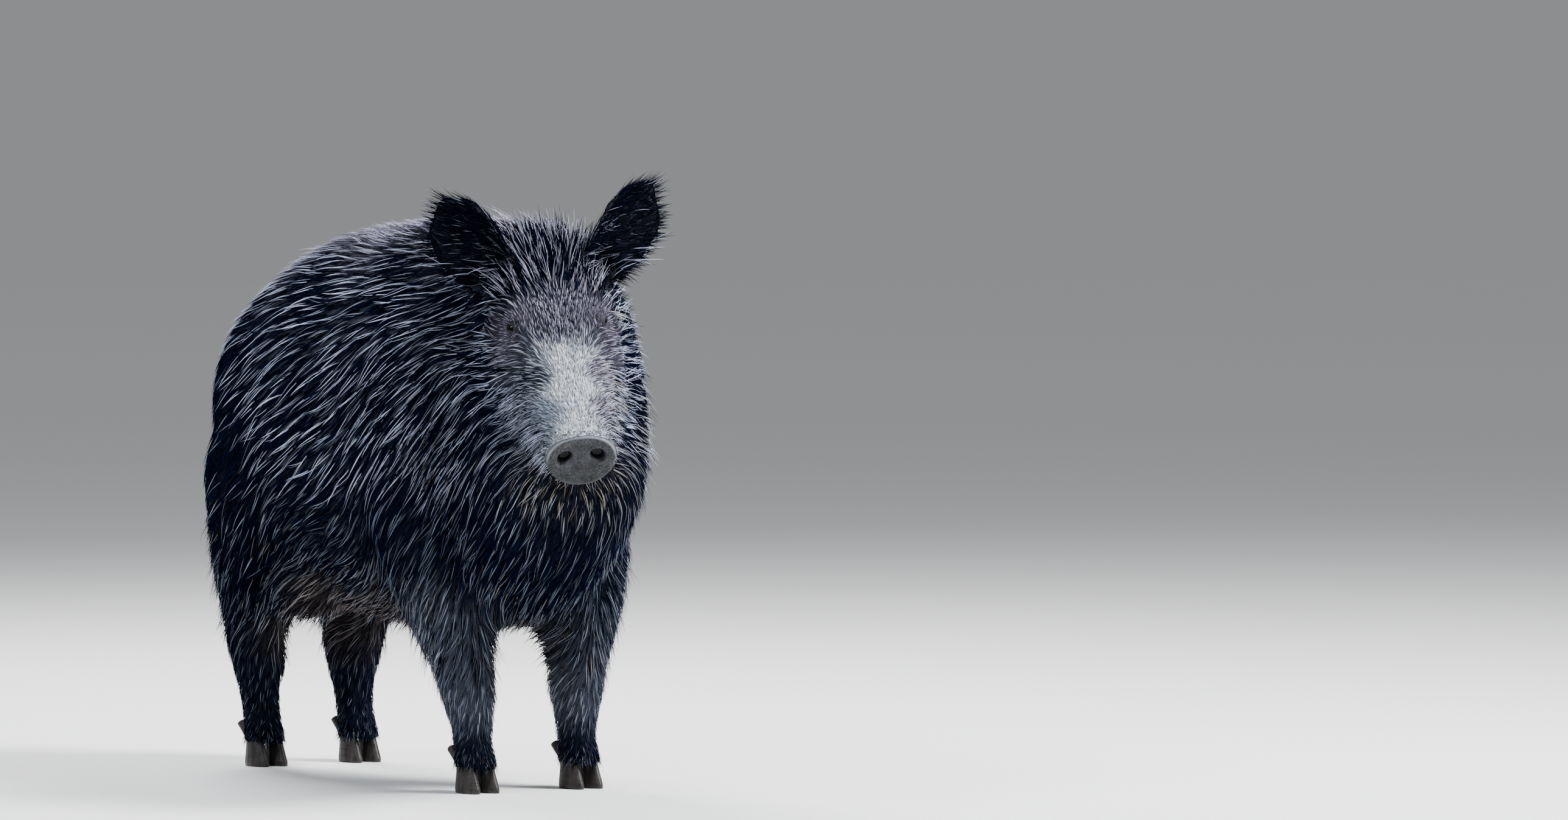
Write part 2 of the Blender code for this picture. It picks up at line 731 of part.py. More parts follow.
def stand_on_origin(parts, guides):
    """Hangs everything on an empty that puts the middle of the animal's box over the origin."""
    bpy.context.view_layer.update()
    graph = bpy.context.evaluated_depsgraph_get()
    corners = []
    for part in parts.objects:
        shown = part.evaluated_get(graph)
        corners += [shown.matrix_world @ Vector(corner) for corner in shown.bound_box]
    low = [min(corner[axis] for corner in corners) for axis in range(3)]
    high = [max(corner[axis] for corner in corners) for axis in range(3)]
    stand = bpy.data.objects.new("stand", None)
    bpy.context.scene.collection.objects.link(stand)
    for thing in (*parts.objects, *guides.objects):
        thing.parent = stand
    stand.location = (-(low[0] + high[0]) / 2, -(low[1] + high[1]) / 2, -low[2])


def main():
    clear_scene()
    parts = collection("wild_boar")
    guides = collection("guides")
    frame = head_matrix()
    body_mesh = blended_body(frame, guides)
    hide = finish("coat", (0.03, 0.03, 0.035), 0.6)
    body = Body(body_mesh, hide, parts, guides)
    ahead = Vector((-math.sin(HEAD_CUT_TURN), -math.cos(HEAD_CUT_TURN), 0))
    head_side = half_space("head_side", HEAD_CUT + ahead * GAP, ahead, guides)
    neck_side = half_space("neck_side", HEAD_CUT, -ahead, guides)
    make_torso(body, make_legs(body), neck_side)
    make_ears(body, frame, hide)
    sockets = make_eyes(body_mesh, frame, parts, guides)
    muzzle_end = make_disc(frame, parts, guides)
    make_head(body, frame, head_side, sockets, muzzle_end)
    make_feet(parts, guides)
    stand_on_origin(parts, guides)


main()
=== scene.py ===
"""Looks of the standing wild boar: one skin under a coat of bristles, bare snout, eyes and horn."""
import math
from collections import namedtuple

import bmesh
import bpy
import numpy as np
from mathutils import Matrix, Vector
from mathutils.bvhtree import BVHTree
from mathutils.kdtree import KDTree


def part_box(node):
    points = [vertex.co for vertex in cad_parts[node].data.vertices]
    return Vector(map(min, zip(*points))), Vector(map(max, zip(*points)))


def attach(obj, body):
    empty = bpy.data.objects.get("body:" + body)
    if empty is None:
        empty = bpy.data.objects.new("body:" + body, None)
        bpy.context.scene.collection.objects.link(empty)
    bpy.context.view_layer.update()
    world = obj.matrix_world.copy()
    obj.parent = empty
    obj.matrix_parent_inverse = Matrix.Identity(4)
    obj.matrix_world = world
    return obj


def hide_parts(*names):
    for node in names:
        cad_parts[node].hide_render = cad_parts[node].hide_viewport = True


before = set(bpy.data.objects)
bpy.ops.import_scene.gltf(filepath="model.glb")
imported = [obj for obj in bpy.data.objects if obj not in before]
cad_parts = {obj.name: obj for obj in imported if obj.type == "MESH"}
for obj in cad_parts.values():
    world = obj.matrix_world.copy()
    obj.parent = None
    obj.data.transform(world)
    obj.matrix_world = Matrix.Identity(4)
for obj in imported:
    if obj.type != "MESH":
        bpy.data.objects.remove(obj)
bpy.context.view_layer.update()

draw = np.random.default_rng(20261)

# Camera and stage. Angles are in degrees.
CAMERA_AZIMUTH = -30.0
CAMERA_ELEVATION = 2.5
CAMERA_DISTANCE = 15.0
CAMERA_LENS = 221.0
CAMERA_SIGHT = Vector((0.0093, 0.1162, 0.450))  # the point whose distance is given
CAMERA_PAN = 0.5745  # the frame's middle lies this far to the right of the sight
CAMERA_RISE = 0.1204  # and this far above it
LIGHTS = {  # azimuth, elevation, distance from the sight, size, power, colour
    "key": (44, 46, 5.0, 1.6, 690, (0.97, 0.98, 1.0)),
    "fill": (-85, 44, 5.0, 1.2, 130, (0.86, 0.92, 1.0)),
    "rim": (170, 50, 4.5, 1.8, 340, (0.98, 0.98, 1.0)),
}
WORLD_TONE = (0.86, 0.88, 0.92, 1)
WORLD_STRENGTH = 0.32
FLOOR_SIZE = 60.0
FLOOR_FADE = 20.0  # from the middle to where the floor is white
FLOOR_TONE = (0.86, 0.86, 0.85)
FLOOR_FAR_TONE = (1.0, 1.0, 1.0)

# Tints: the pale ends of the hair and its dark body.
FROST = (0.96, 0.98, 1.0)
ICE = (0.67, 0.75, 1.0)
SILVER = (0.60, 0.67, 0.90)
HEATHER = (0.56, 0.53, 0.68)
LILAC = (0.44, 0.42, 0.55)
PEWTER = (0.30, 0.33, 0.42)
SLATE = (0.12, 0.15, 0.20)
CREAM = (0.54, 0.52, 0.66)
# Blue-grey for painted shade on the right side of the face.
SHADOW_BLUE = (0.47, 0.53, 0.64)
FAWN = (0.27, 0.23, 0.22)
TAN = (0.30, 0.25, 0.19)
UMBER = (0.070, 0.055, 0.048)
STRAW = (0.46, 0.42, 0.38)
MAUVE = (0.060, 0.054, 0.078)
DUSK = (0.042, 0.052, 0.074)
INK = (0.0016, 0.0030, 0.0110)
SOOT = (0.0040, 0.0042, 0.0080)
BISTRE = (0.018, 0.015, 0.016)
LID_TONE = (0.034, 0.032, 0.042)

SIDES = {"left": 1, "right": -1}
FLESH = [
    name
    for name in sorted(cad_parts)
    if not any(word in name for word in ("eye_", "hoof", "dewclaw", "snout_disc"))
]


def is_flesh(labels, *words):
    """Which labels are of flesh nodes whose names start or end with one of some words."""
    return np.isin(
        labels, [i for i, name in enumerate(FLESH) if name.startswith(words) or name.endswith(words)]
    )


# ---- places on the animal


def middle(node):
    low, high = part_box(node)
    return (low + high) / 2


def in_box(node, across, along, up):
    """A point of a node's box, given as shares from its right, front and lower sides."""
    low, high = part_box(node)
    share = Vector((across, along, up))
    return Vector(low[i] + (high[i] - low[i]) * share[i] for i in range(3))


EYES_AHEAD = 0.164  # from the poll, along the face
EYES_BELOW = 0.031
FACE_FALL = math.radians(7.6)  # from the eyes to the disc, below the line of the face


def head_frame():
    """Forward along the face, left, and up off the forehead, with its origin at the poll."""
    right_eye = middle("eye_right")
    left_eye = middle("eye_left")
    left = (left_eye - right_eye).normalized()
    between = (left_eye + right_eye) / 2
    run = middle("snout_disc") - between
    run = (run - left * run.dot(left)).normalized()
    forward = Matrix.Rotation(-FACE_FALL, 3, left) @ run
    up = forward.cross(left)
    poll = between - forward * EYES_AHEAD + up * EYES_BELOW
    rows = [(forward[i], left[i], up[i], poll[i]) for i in range(3)]
    return Matrix((*rows, (0, 0, 0, 1)))


HEAD = head_frame()
HEAD_TURN = np.array(HEAD.to_3x3())
HEAD_POLL = np.array(HEAD.translation)
HEAD_INVERSE = HEAD.inverted()


def to_head(points):
    return (points - HEAD_POLL) @ HEAD_TURN


def from_head(points):
    return np.asarray(points) @ HEAD_TURN.T + HEAD_POLL


EYE_LOOK = np.array((0.45, 0.72, 0.53)) / np.linalg.norm((0.45, 0.72, 0.53))
EYE_RADIUS = 0.0125
EYE_SUNK = 0.0020
Eye = namedtuple("Eye", "centre inner brow look")


def eye_frame(hand):
    """An eye's middle, and its axes: towards the snout, up the brow, and out of the eye."""
    side = SIDES[hand]
    look = HEAD_TURN @ (EYE_LOOK * (1, side, 1))
    inner = HEAD_TURN @ np.array((1.0, -0.25 * side, -0.30))
    inner = inner - look * inner.dot(look)
    inner /= np.linalg.norm(inner)
    brow = np.cross(look, inner) * side
    if brow @ HEAD_TURN[:, 2] < 0:
        brow = -brow
    return Eye(np.array(middle(f"eye_{hand}")) - look * EYE_SUNK, inner, brow, look)


EYES = {hand: eye_frame(hand) for hand in SIDES}


def bell(values, centre, spread):
    return np.exp(-(((values - centre) / spread) ** 2))


def step_up(values, centre, spread):
    """A soft step from 0 to 1."""
    return 1 / (1 + np.exp(-(values - centre) / spread))


def between(values, low, high):
    return (values > low) & (values < high)


def eased(share):
    """A share from 0 to 1 that starts and ends gently."""
    return share * share * (3 - 2 * share)


def near_eyes(points, radius):
    """How near some points are to an eye: 1 in its middle, fading out over a radius."""
    near = np.zeros(len(points))
    for eye in EYES.values():
        near = np.maximum(near, bell(np.linalg.norm(points - eye.centre, axis=1), 0, radius))
    return near


# A kind of hair: the length and width of a lock, the depth of the coat, how many times the
# locks cover the skin, the share that pale streaks take of it, and the two tints.
Hair = namedtuple("Hair", "length width depth cover pale tint shade")
MANE = Hair(0.085, 0.0023, 0.036, 1.3, 0.30, LILAC, SOOT)
RIDGE = Hair(0.075, 0.0021, 0.026, 1.3, 0.40, CREAM, BISTRE)
BACK = Hair(0.058, 0.0019, 0.016, 1.3, 0.58, CREAM, MAUVE)
CROUP = Hair(0.052, 0.0019, 0.013, 1.3, 0.40, LILAC, SOOT)
UPPER_NECK = Hair(0.072, 0.0022, 0.016, 1.2, 0.22, PEWTER, INK)
UPPER_SIDE = Hair(0.076, 0.0026, 0.014, 1.2, 0.25, ICE, INK)
FLANK = Hair(0.080, 0.0026, 0.013, 1.2, 0.25, ICE, INK)
SHOULDER = Hair(0.072, 0.0023, 0.013, 1.2, 0.26, SILVER, INK)
NECK = Hair(0.066, 0.0023, 0.016, 1.3, 0.25, PEWTER, INK)
HAUNCH = Hair(0.062, 0.0023, 0.012, 1.2, 0.05, PEWTER, INK)
# Dim slate streaks low on the body: partly the hair's own darker tone, partly painted shade.
LOW_SIDE = Hair(0.055, 0.0023, 0.013, 1.2, 0.20, SLATE, INK)
BELLY = Hair(0.055, 0.0020, 0.018, 1.3, 0.46, FAWN, BISTRE)
# The same dim slate on the chest, partly painted shade.
CHEST = Hair(0.055, 0.0023, 0.020, 1.3, 0.16, SLATE, INK)
FRONT_LEG = Hair(0.044, 0.0022, 0.010, 1.1, 0.50, PEWTER, DUSK)
FRONT_SHANK = Hair(0.024, 0.0018, 0.0055, 0.9, 0.46, PEWTER, DUSK)
UPPER_LEG = Hair(0.042, 0.0021, 0.009, 1.1, 0.22, SLATE, INK)
LOWER_LEG = Hair(0.023, 0.0018, 0.0050, 0.9, 0.18, SLATE, INK)
FOOT = Hair(0.014, 0.0016, 0.0033, 0.7, 0.14, SLATE, INK)
TAIL = Hair(0.032, 0.0020, 0.005, 1.5, 0.12, SLATE, INK)
NOSE = Hair(0.009, 0.0012, 0.0018, 1.0, 0.78, FROST, SLATE)
BRIDGE = Hair(0.013, 0.0014, 0.0026, 1.0, 0.80, FROST, SLATE)
# Dimmer, bluer hair for the right side of the blaze and muzzle: painted shade on the side turned from
# the key light.
SHADED_BLAZE = Hair(0.016, 0.0013, 0.0036, 1.0, 0.62, SHADOW_BLUE, SLATE)
SHADED_NOSE_SIDE = Hair(0.024, 0.0011, 0.0060, 1.4, 0.50, SHADOW_BLUE, INK)
BRIDGE_SIDE = Hair(0.021, 0.0011, 0.0055, 1.3, 0.62, (0.66, 0.65, 0.76), MAUVE)
BROW = Hair(0.014, 0.0009, 0.0036, 1.4, 0.55, HEATHER, INK)
FOREHEAD = Hair(0.032, 0.0012, 0.008, 1.6, 0.38, HEATHER, INK)
CREST = Hair(0.066, 0.0016, 0.026, 1.7, 0.26, HEATHER, INK)
CROWN = Hair(0.078, 0.0019, 0.036, 1.7, 0.20, LILAC, INK)
UNDER_EYE = Hair(0.022, 0.0011, 0.006, 1.5, 0.40, LILAC, MAUVE)
LEFT_JOWL = Hair(0.055, 0.0019, 0.020, 1.6, 0.26, STRAW, SOOT)
TEMPLE = Hair(0.022, 0.0011, 0.006, 1.5, 0.30, PEWTER, SOOT)
MUZZLE = Hair(0.028, 0.0011, 0.0080, 1.5, 0.42, SILVER, INK)
# Dimmer, bluer cheek hair for the right side: painted shade.
SHADED_CHEEK = Hair(0.044, 0.0013, 0.013, 1.6, 0.36, (0.38, 0.46, 0.60), INK)
CHEEK_FRONT = Hair(0.044, 0.0013, 0.013, 1.6, 0.36, SILVER, INK)
CHEEK = Hair(0.054, 0.0016, 0.016, 1.6, 0.28, SILVER, INK)
RUFF = Hair(0.060, 0.0019, 0.019, 1.6, 0.24, PEWTER, INK)
JOWL = Hair(0.055, 0.0019, 0.020, 1.6, 0.24, PEWTER, INK)
LIP = Hair(0.012, 0.0012, 0.0034, 1.2, 0.30, FAWN, SOOT)
NAPE = Hair(0.050, 0.0020, 0.016, 1.5, 0.07, PEWTER, INK)
CHIN = Hair(0.038, 0.0016, 0.016, 1.8, 0.25, TAN, SOOT)
BEARD = Hair(0.055, 0.0020, 0.024, 1.8, 0.20, TAN, SOOT)
THROAT = Hair(0.060, 0.0022, 0.026, 1.8, 0.18, FAWN, INK)

EYE_HAIR = {"length": 0.0075, "width": 0.0008, "cover": 1.4, "pale": 0.42,
            "tint": HEATHER, "shade": MAUVE}
EYE_HAIR_RADIUS = 0.030
EYE_HAIR_GAIN = 1.7  # how soon it is all that grows, towards an eye
BLEND_ROUNDS = 6
EAR_HAIR = {"length": 0.022, "width": 0.0017, "depth": 0.0030, "cover": 1.5, "pale": 0.06,
            "tint": SLATE, "shade": SOOT}

Place = namedtuple("Place", "spot reach lie hair")


def body_place(node, share, reach, lie, hair):
    """A place on the right side, and its mirror image on the left one."""
    spot = np.array(in_box(node, *share))
    other = node.replace("right", "left")
    mirrored = np.array(in_box(other, 1 - share[0], share[1], share[2]))
    flip = np.array((-1, 1, 1))
    lie = np.array(lie, float)
    return [Place(spot, reach, lie, hair), Place(mirrored, reach, lie * flip, hair)]


def head_place(spot, reach, lie, hair, right_hair=None):
    """The same, in the head's own frame. The right side may have a hair of its own."""
    made = []
    for side, grown in ((1, hair), (-1, right_hair or hair)):
        flip = np.array((1, side, 1))
        turned = HEAD_TURN @ (np.array(lie, float) * flip)
        made.append(Place(from_head(np.array(spot) * flip), reach, turned, grown))
    return made


# Where each kind of hair grows, how far it reaches, and the way it lies there. The first ones
# are given by shares of a node's box, the others in the head's own frame.
BODY_PLACES = (
    # along the back
    ("neck", (0.48, 0.2, 1.0), 0.12, (0, 1, 0.35), MANE),
    ("trunk_shoulders", (0.5, 0.2, 1.0), 0.14, (0, 1, 0.15), RIDGE),
    ("trunk_barrel", (0.5, 0.3, 1.0), 0.15, (0, 1, 0.0), BACK),
    ("trunk_rump", (0.5, 0.3, 0.98), 0.14, (0, 1, -0.2), BACK),
    ("trunk_rump", (0.5, 0.85, 0.8), 0.12, (0, 0.7, -0.8), CROUP),
    # the upper sides
    ("neck", (0.1, 0.5, 0.8), 0.12, (-0.1, 0.9, -0.45), UPPER_NECK),
    ("trunk_shoulders", (0.08, 0.5, 0.86), 0.14, (0, 1, -0.30), UPPER_SIDE),
    ("trunk_barrel", (0.06, 0.5, 0.86), 0.15, (0, 1, -0.20), UPPER_SIDE),
    ("trunk_rump", (0.08, 0.4, 0.85), 0.14, (0, 1, -0.40), UPPER_SIDE),
    # the sides
    ("neck", (0.0, 0.5, 0.5), 0.14, (0, 0.65, -0.80), NECK),
    ("trunk_shoulders", (0.0, 0.5, 0.55), 0.16, (0, 0.75, -0.70), SHOULDER),
    ("trunk_barrel", (0.0, 0.5, 0.55), 0.17, (0, 0.88, -0.50), FLANK),
    ("trunk_rump", (0.0, 0.12, 0.66), 0.11, (0, 0.85, -0.60), FLANK),
    ("trunk_rump", (0.02, 0.50, 0.50), 0.24, (0, 0.75, -0.75), HAUNCH),
    ("trunk_rump", (0.20, 0.88, 0.55), 0.14, (0, 0.55, -0.85), HAUNCH),
    # low on the sides, and underneath, where the dim streaks are partly darker hair, partly painted
    # shade
    ("neck", (0.12, 0.4, 0.2), 0.12, (-0.1, 0.6, -0.80), CHEST),
    ("trunk_shoulders", (0.03, 0.45, 0.22), 0.13, (0, 0.45, -0.90), LOW_SIDE),
    ("trunk_barrel", (0.04, 0.5, 0.22), 0.14, (0, 0.9, -0.45), LOW_SIDE),
    ("trunk_rump", (0.0, 0.25, 0.15), 0.12, (0, 0.55, -0.85), HAUNCH),
    ("trunk_barrel", (0.5, 0.5, 0.0), 0.13, (0, 1, 0.0), BELLY),
    ("trunk_shoulders", (0.5, 0.6, 0.0), 0.13, (0, 1, -0.1), BELLY),
    ("trunk_barrel", (0.14, 0.6, 0.06), 0.09, (0, 0.95, -0.35), BELLY),
    ("trunk_rump", (0.5, 0.3, 0.05), 0.12, (0, 1, -0.1), BELLY),
    ("neck", (0.48, 0.1, 0.05), 0.11, (-0.25, 0.5, -0.85), CHEST),
    # legs
    ("front_right_leg_upper", (0.3, 0.4, 0.5), 0.09, (0, 0.40, -0.95), FRONT_LEG),
    ("front_right_leg_lower", (0.5, 0.5, 0.5), 0.06, (0, 0.20, -1), FRONT_SHANK),
    ("front_right_foot", (0.5, 0.5, 0.5), 0.05, (0, 0.25, -1), FOOT),
    ("rear_right_leg_upper", (0.3, 0.55, 0.5), 0.09, (0, 0.45, -0.95), UPPER_LEG),
    ("rear_right_leg_upper", (0.85, 0.60, 0.4), 0.08, (0, 0.45, -0.95), UPPER_LEG),
    ("rear_right_leg_lower", (0.5, 0.5, 0.5), 0.07, (0, 0.20, -1), LOWER_LEG),
    ("rear_right_foot", (0.5, 0.5, 0.5), 0.05, (0, 0.25, -1), FOOT),
    # tail
    ("tail", (0.3, 0.3, 0.95), 0.05, (0, 0.4, -1), TAIL),
    ("tail", (0.3, 0.8, 0.4), 0.09, (0, 0.1, -1), TAIL),
)
HEAD_PLACES = (
    # the bridge of the nose and the forehead
    ((0.39, 0, -0.03), 0.035, (-1, 0, 0), NOSE),
    ((0.31, 0, -0.025), 0.050, (-1, 0, 0), BRIDGE),
    ((0.255, 0, -0.018), 0.038, (-1, 0, 0), BRIDGE),
    # On the right, the sides of the blaze take dimmer hair: painted shade.
    ((0.27, 0.045, -0.035), 0.038, (-0.5, 0.8, -0.4), BRIDGE_SIDE, SHADED_NOSE_SIDE),
    ((0.34, 0.040, -0.042), 0.040, (-0.7, 0.6, -0.4), BRIDGE_SIDE, SHADED_BLAZE),
    ((0.19, 0.0, -0.006), 0.036, (-1, 0, 0.1), BROW),
    ((0.15, 0.02, 0.0), 0.036, (-1, 0.15, 0.1), BROW),
    ((0.10, 0.035, 0.005), 0.035, (-0.9, 0.4, 0.3), FOREHEAD),
    ((0.05, 0.0, 0.01), 0.040, (-0.7, 0, 0.7), CREST),
    ((0.045, 0.065, -0.01), 0.040, (-0.6, 0.75, 0.35), CREST),
    ((-0.02, 0.0, 0.005), 0.060, (-0.8, 0, 0.6), CROWN),
    ((0.12, 0.095, -0.06), 0.040, (-0.8, 0.6, 0), TEMPLE),
    ((0.195, 0.080, -0.065), 0.034, (-0.6, 0.6, -0.5), UNDER_EYE),
    ((-0.03, 0.115, -0.05), 0.050, (-0.8, 0.35, -0.35), NAPE),
    # the sides of the muzzle and the cheeks
    # On the right, the muzzle and the front of the cheek take dimmer hair: painted shade.
    ((0.36, 0.050, -0.075), 0.036, (-0.45, 0.5, -0.8), MUZZLE, SHADED_NOSE_SIDE),
    ((0.25, 0.085, -0.12), 0.055, (-0.45, 0.35, -0.85), CHEEK_FRONT, SHADED_CHEEK),
    ((0.16, 0.11, -0.13), 0.060, (-0.6, 0.3, -0.75), CHEEK),
    ((0.06, 0.12, -0.15), 0.080, (-0.8, 0.1, -0.6), RUFF),
    ((0.15, 0.10, -0.24), 0.070, (-0.6, 0.3, -0.8), LEFT_JOWL, JOWL),
    # lips, chin and throat
    ((0.37, 0.03, -0.115), 0.030, (-0.7, 0.2, -0.7), LIP),
    ((0.31, 0.0, -0.17), 0.050, (-0.6, 0, -0.8), CHIN),
    ((0.20, 0.0, -0.27), 0.080, (-0.5, 0, -0.85), BEARD),
    ((0.10, 0.0, -0.36), 0.100, (-0.5, 0, -0.85), THROAT),
)
PLACES = [place for row in BODY_PLACES for place in body_place(*row)]
PLACES += [place for row in HEAD_PLACES for place in head_place(*row)]


def blend_places(points):
    """Every quality of the coat at some points, as a soft mix of the nearest places."""
    total = np.zeros((len(points), 1))
    made = {name: 0.0 for name in ("lie", *Hair._fields)}
    for place in PLACES:
        near = ((points - place.spot) ** 2).sum(1) / place.reach**2
        weight = (1.0 / (0.02 + near) ** 2.5)[:, None]
        total += weight
        made["lie"] = made["lie"] + weight * place.lie
        for name, value in zip(Hair._fields, place.hair):
            made[name] = made[name] + weight * np.array(value)
    return {name: np.squeeze(values / total) for name, values in made.items()}


# ---- mesh helpers


def select(*things):
    """Selects these objects only, or none, and makes the first one active."""
    for thing in bpy.context.selected_objects:
        thing.select_set(False)
    for thing in things:
        thing.select_set(True)
    if things:
        bpy.context.view_layer.objects.active = things[0]


def read(items, field, width, kind=np.float32):
    """One field of a mesh's items, with a row for each item."""
    flat = np.empty(len(items) * width, kind)
    items.foreach_get(field, flat)
    return flat.reshape(-1, width)


def coordinates(mesh):
    return read(mesh.vertices, "co", 3).astype(float)


def set_coordinates(mesh, points):
    mesh.vertices.foreach_set("co", points.astype(np.float32).ravel())
    mesh.update()


def normals(mesh):
    return read(mesh.vertex_normals, "vector", 3).astype(float)


def unit(vectors):
    return vectors / np.maximum(np.linalg.norm(vectors, axis=1, keepdims=True), 1e-9)


SHRINK = 0.52  # of a round of smoothing
GROW_BACK = 0.54


class Neighbours:
    """The mean of each vertex's neighbours."""

    def __init__(self, mesh):
        pairs = read(mesh.edges, "vertices", 2, np.int32)
        self.start = np.concatenate((pairs[:, 0], pairs[:, 1]))
        self.end = np.concatenate((pairs[:, 1], pairs[:, 0]))
        self.size = len(mesh.vertices)
        self.count = np.maximum(np.bincount(self.start, minlength=self.size), 1)

    def mean(self, values):
        if values.ndim == 1:
            return np.bincount(self.start, values[self.end], self.size) / self.count
        return np.stack([self.mean(column) for column in values.T], 1)

    def relaxed(self, values, rounds):
        for _ in range(rounds):
            values = values + 0.5 * (self.mean(values) - values)
        return values

    def smoothed(self, points, rounds):
        """Smoothing that takes the facets off without shrinking the form."""
        for _ in range(rounds):
            points = points + SHRINK * (self.mean(points) - points)
            points = points - GROW_BACK * (self.mean(points) - points)
        return points


def placed(name, data):
    """A new object in the scene, of a mesh, a lens or a light."""
    made = bpy.data.objects.new(name, data)
    bpy.context.scene.collection.objects.link(made)
    return made


def new_object(name, vertices, faces):
    mesh = bpy.data.meshes.new(name)
    mesh.from_pydata(vertices, [], faces)
    mesh.update()
    return placed(name, mesh)


def weld(work, mesh, distance):
    """Joins the doubled vertices of a working mesh, and writes it to a mesh."""
    bmesh.ops.remove_doubles(work, verts=work.verts[:], dist=distance)
    work.to_mesh(mesh)
    work.free()


def melt(thing, voxel):
    """Makes an object into one closed surface of even squares."""
    select(thing)
    change = thing.modifiers.new("melt", "REMESH")
    change.mode = "VOXEL"
    change.voxel_size = voxel
    bpy.ops.object.modifier_apply(modifier=change.name)


# ---- skin

SKIN_VOXEL = 0.0064
SKIN_SMOOTHING = 30
FACE_STARTS = 0.09  # ahead of the poll, where the skin gets finer
FACE_FLOOR = -0.20


def closed_flesh():
    """The flesh nodes melted into one closed surface."""
    gathered = bmesh.new()
    for node in (*FLESH, "eye_left", "eye_right"):
        gathered.from_mesh(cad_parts[node].data)
    made = placed("skin", bpy.data.meshes.new("skin"))
    weld(gathered, made.data, 1e-6)
    melt(made, SKIN_VOXEL)
    return made


def node_labels(points):
    """For each point, the flesh node that it lies nearest to."""
    vertices = []
    faces = []
    owner = []
    for number, node in enumerate(FLESH):
        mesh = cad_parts[node].data
        start = len(vertices)
        vertices.extend(v.co.copy() for v in mesh.vertices)
        for face in mesh.polygons:
            faces.append([start + i for i in face.vertices])
            owner.append(number)
    tree = BVHTree.FromPolygons(vertices, faces)
    return np.array([owner[tree.find_nearest(Vector(p))[2]] for p in points])


def refine_face(mesh):
    """Halves the faces of the front of the head, where the finest forms are."""
    work = bmesh.new()
    work.from_mesh(mesh)
    inside = set()
    for vertex in work.verts:
        local = HEAD_INVERSE @ vertex.co
        if local.x > FACE_STARTS and local.z > FACE_FLOOR:
            inside.add(vertex)
    fine = [edge for edge in work.edges if all(v in inside for v in edge.verts)]
    bmesh.ops.subdivide_edges(work, edges=fine, cuts=1, use_grid_fill=True)
    work.to_mesh(mesh)
    work.free()


# Folds of the hide: how high or deep each one is, and the step from one wrinkle to the next.
WRINKLE_RISE = 0.0010
WRINKLE_STEP = 0.0085
SCAR = (0.352, 0.012, -0.028)
SCAR_RISE = 0.0022
SCAR_MOAT = 0.0012
SCAR_BARE = 0.0045  # the radius without hair
MOUTH_HEIGHT = -0.122
MOUTH_DEPTH = 0.0045
LIP_RISE = 0.0020
CREASE_RISE = 0.0008
CREASE_STEP = 0.0065
BROW_RISE = 0.0030
TEAR_DEPTH = 0.0016


def fold(points, up):
    """Folds of the hide: wrinkles over the muzzle, brow creases, the mouth and an old scar."""
    forward, aside, above = to_head(points).T
    across = bell(forward, 0.365, 0.030) * bell(aside, 0, 0.040) * step_up(above, -0.055, 0.008)
    rise = WRINKLE_RISE * across * np.sin(forward * 2 * math.pi / WRINKLE_STEP + 60 * np.abs(aside))
    scar = np.linalg.norm(points - from_head(SCAR), axis=1)
    rise += SCAR_RISE * bell(scar, 0, 0.006) - SCAR_MOAT * bell(scar, 0.009, 0.003)
    mouth = MOUTH_HEIGHT - 0.10 * (forward - 0.30)
    side = step_up(np.abs(aside), 0.022, 0.004)
    along = bell(forward, 0.31, 0.085)
    rise -= MOUTH_DEPTH * along * side * bell(above, mouth, 0.0045)
    rise += LIP_RISE * along * side * bell(above, mouth - 0.010, 0.006)
    for eye in EYES.values():
        run = points - eye.centre
        flat = run - np.outer(run @ eye.look, eye.look)
        far = np.linalg.norm(flat, axis=1)
        high = step_up(run @ eye.brow, 0, 0.004)
        crease = np.sin((far - 0.016) * 2 * math.pi / CREASE_STEP)
        rise += CREASE_RISE * crease * bell(far, 0.024, 0.008) * (0.35 + 0.65 * high)
        rise += BROW_RISE * bell(far, 0.021, 0.008) * high
        tear = np.abs(flat @ eye.brow + 0.25 * (run @ eye.inner))
        rise -= TEAR_DEPTH * bell(tear, 0, 0.0022) * bell(run @ eye.inner, 0.020, 0.010)
    return points + up * rise[:, None]


LID_SPOKES = 72
LID_RINGS = (  # beyond the edge of the opening, and above the eyeball
    (-0.0006, -0.0016),
    (0.0000, 0.0003),
    (0.0005, 0.0009),
    (0.0013, 0.0013),
    (0.0023, 0.0012),
    (0.0032, 0.0004),
    (0.0042, 0.0009),
    (0.0056, 0.0016),
    (0.0070, 0.0012),
    (0.0084, 0.0008),
    (0.0098, 0.0003),
    (0.0114, -0.0008),
)
LID_OPEN = {"right": (0.0062, 0.0044), "left": (0.0022, 0.0014)}  # above the middle, and below
LID_CLEARANCE = 0.0005
LID_DIP = 0.010  # of the hide, beneath the lids
LID_BARE = 0.0094  # the radius without locks
LID_RADIUS = 0.0145  # of the lids' own tone
LID_COAT = 0.0014  # the depth of the coat round the lids
LID_COAT_RADIUS = 0.024
EYE_CORNER = 0.0094
TEAR_CORNER = 0.0012


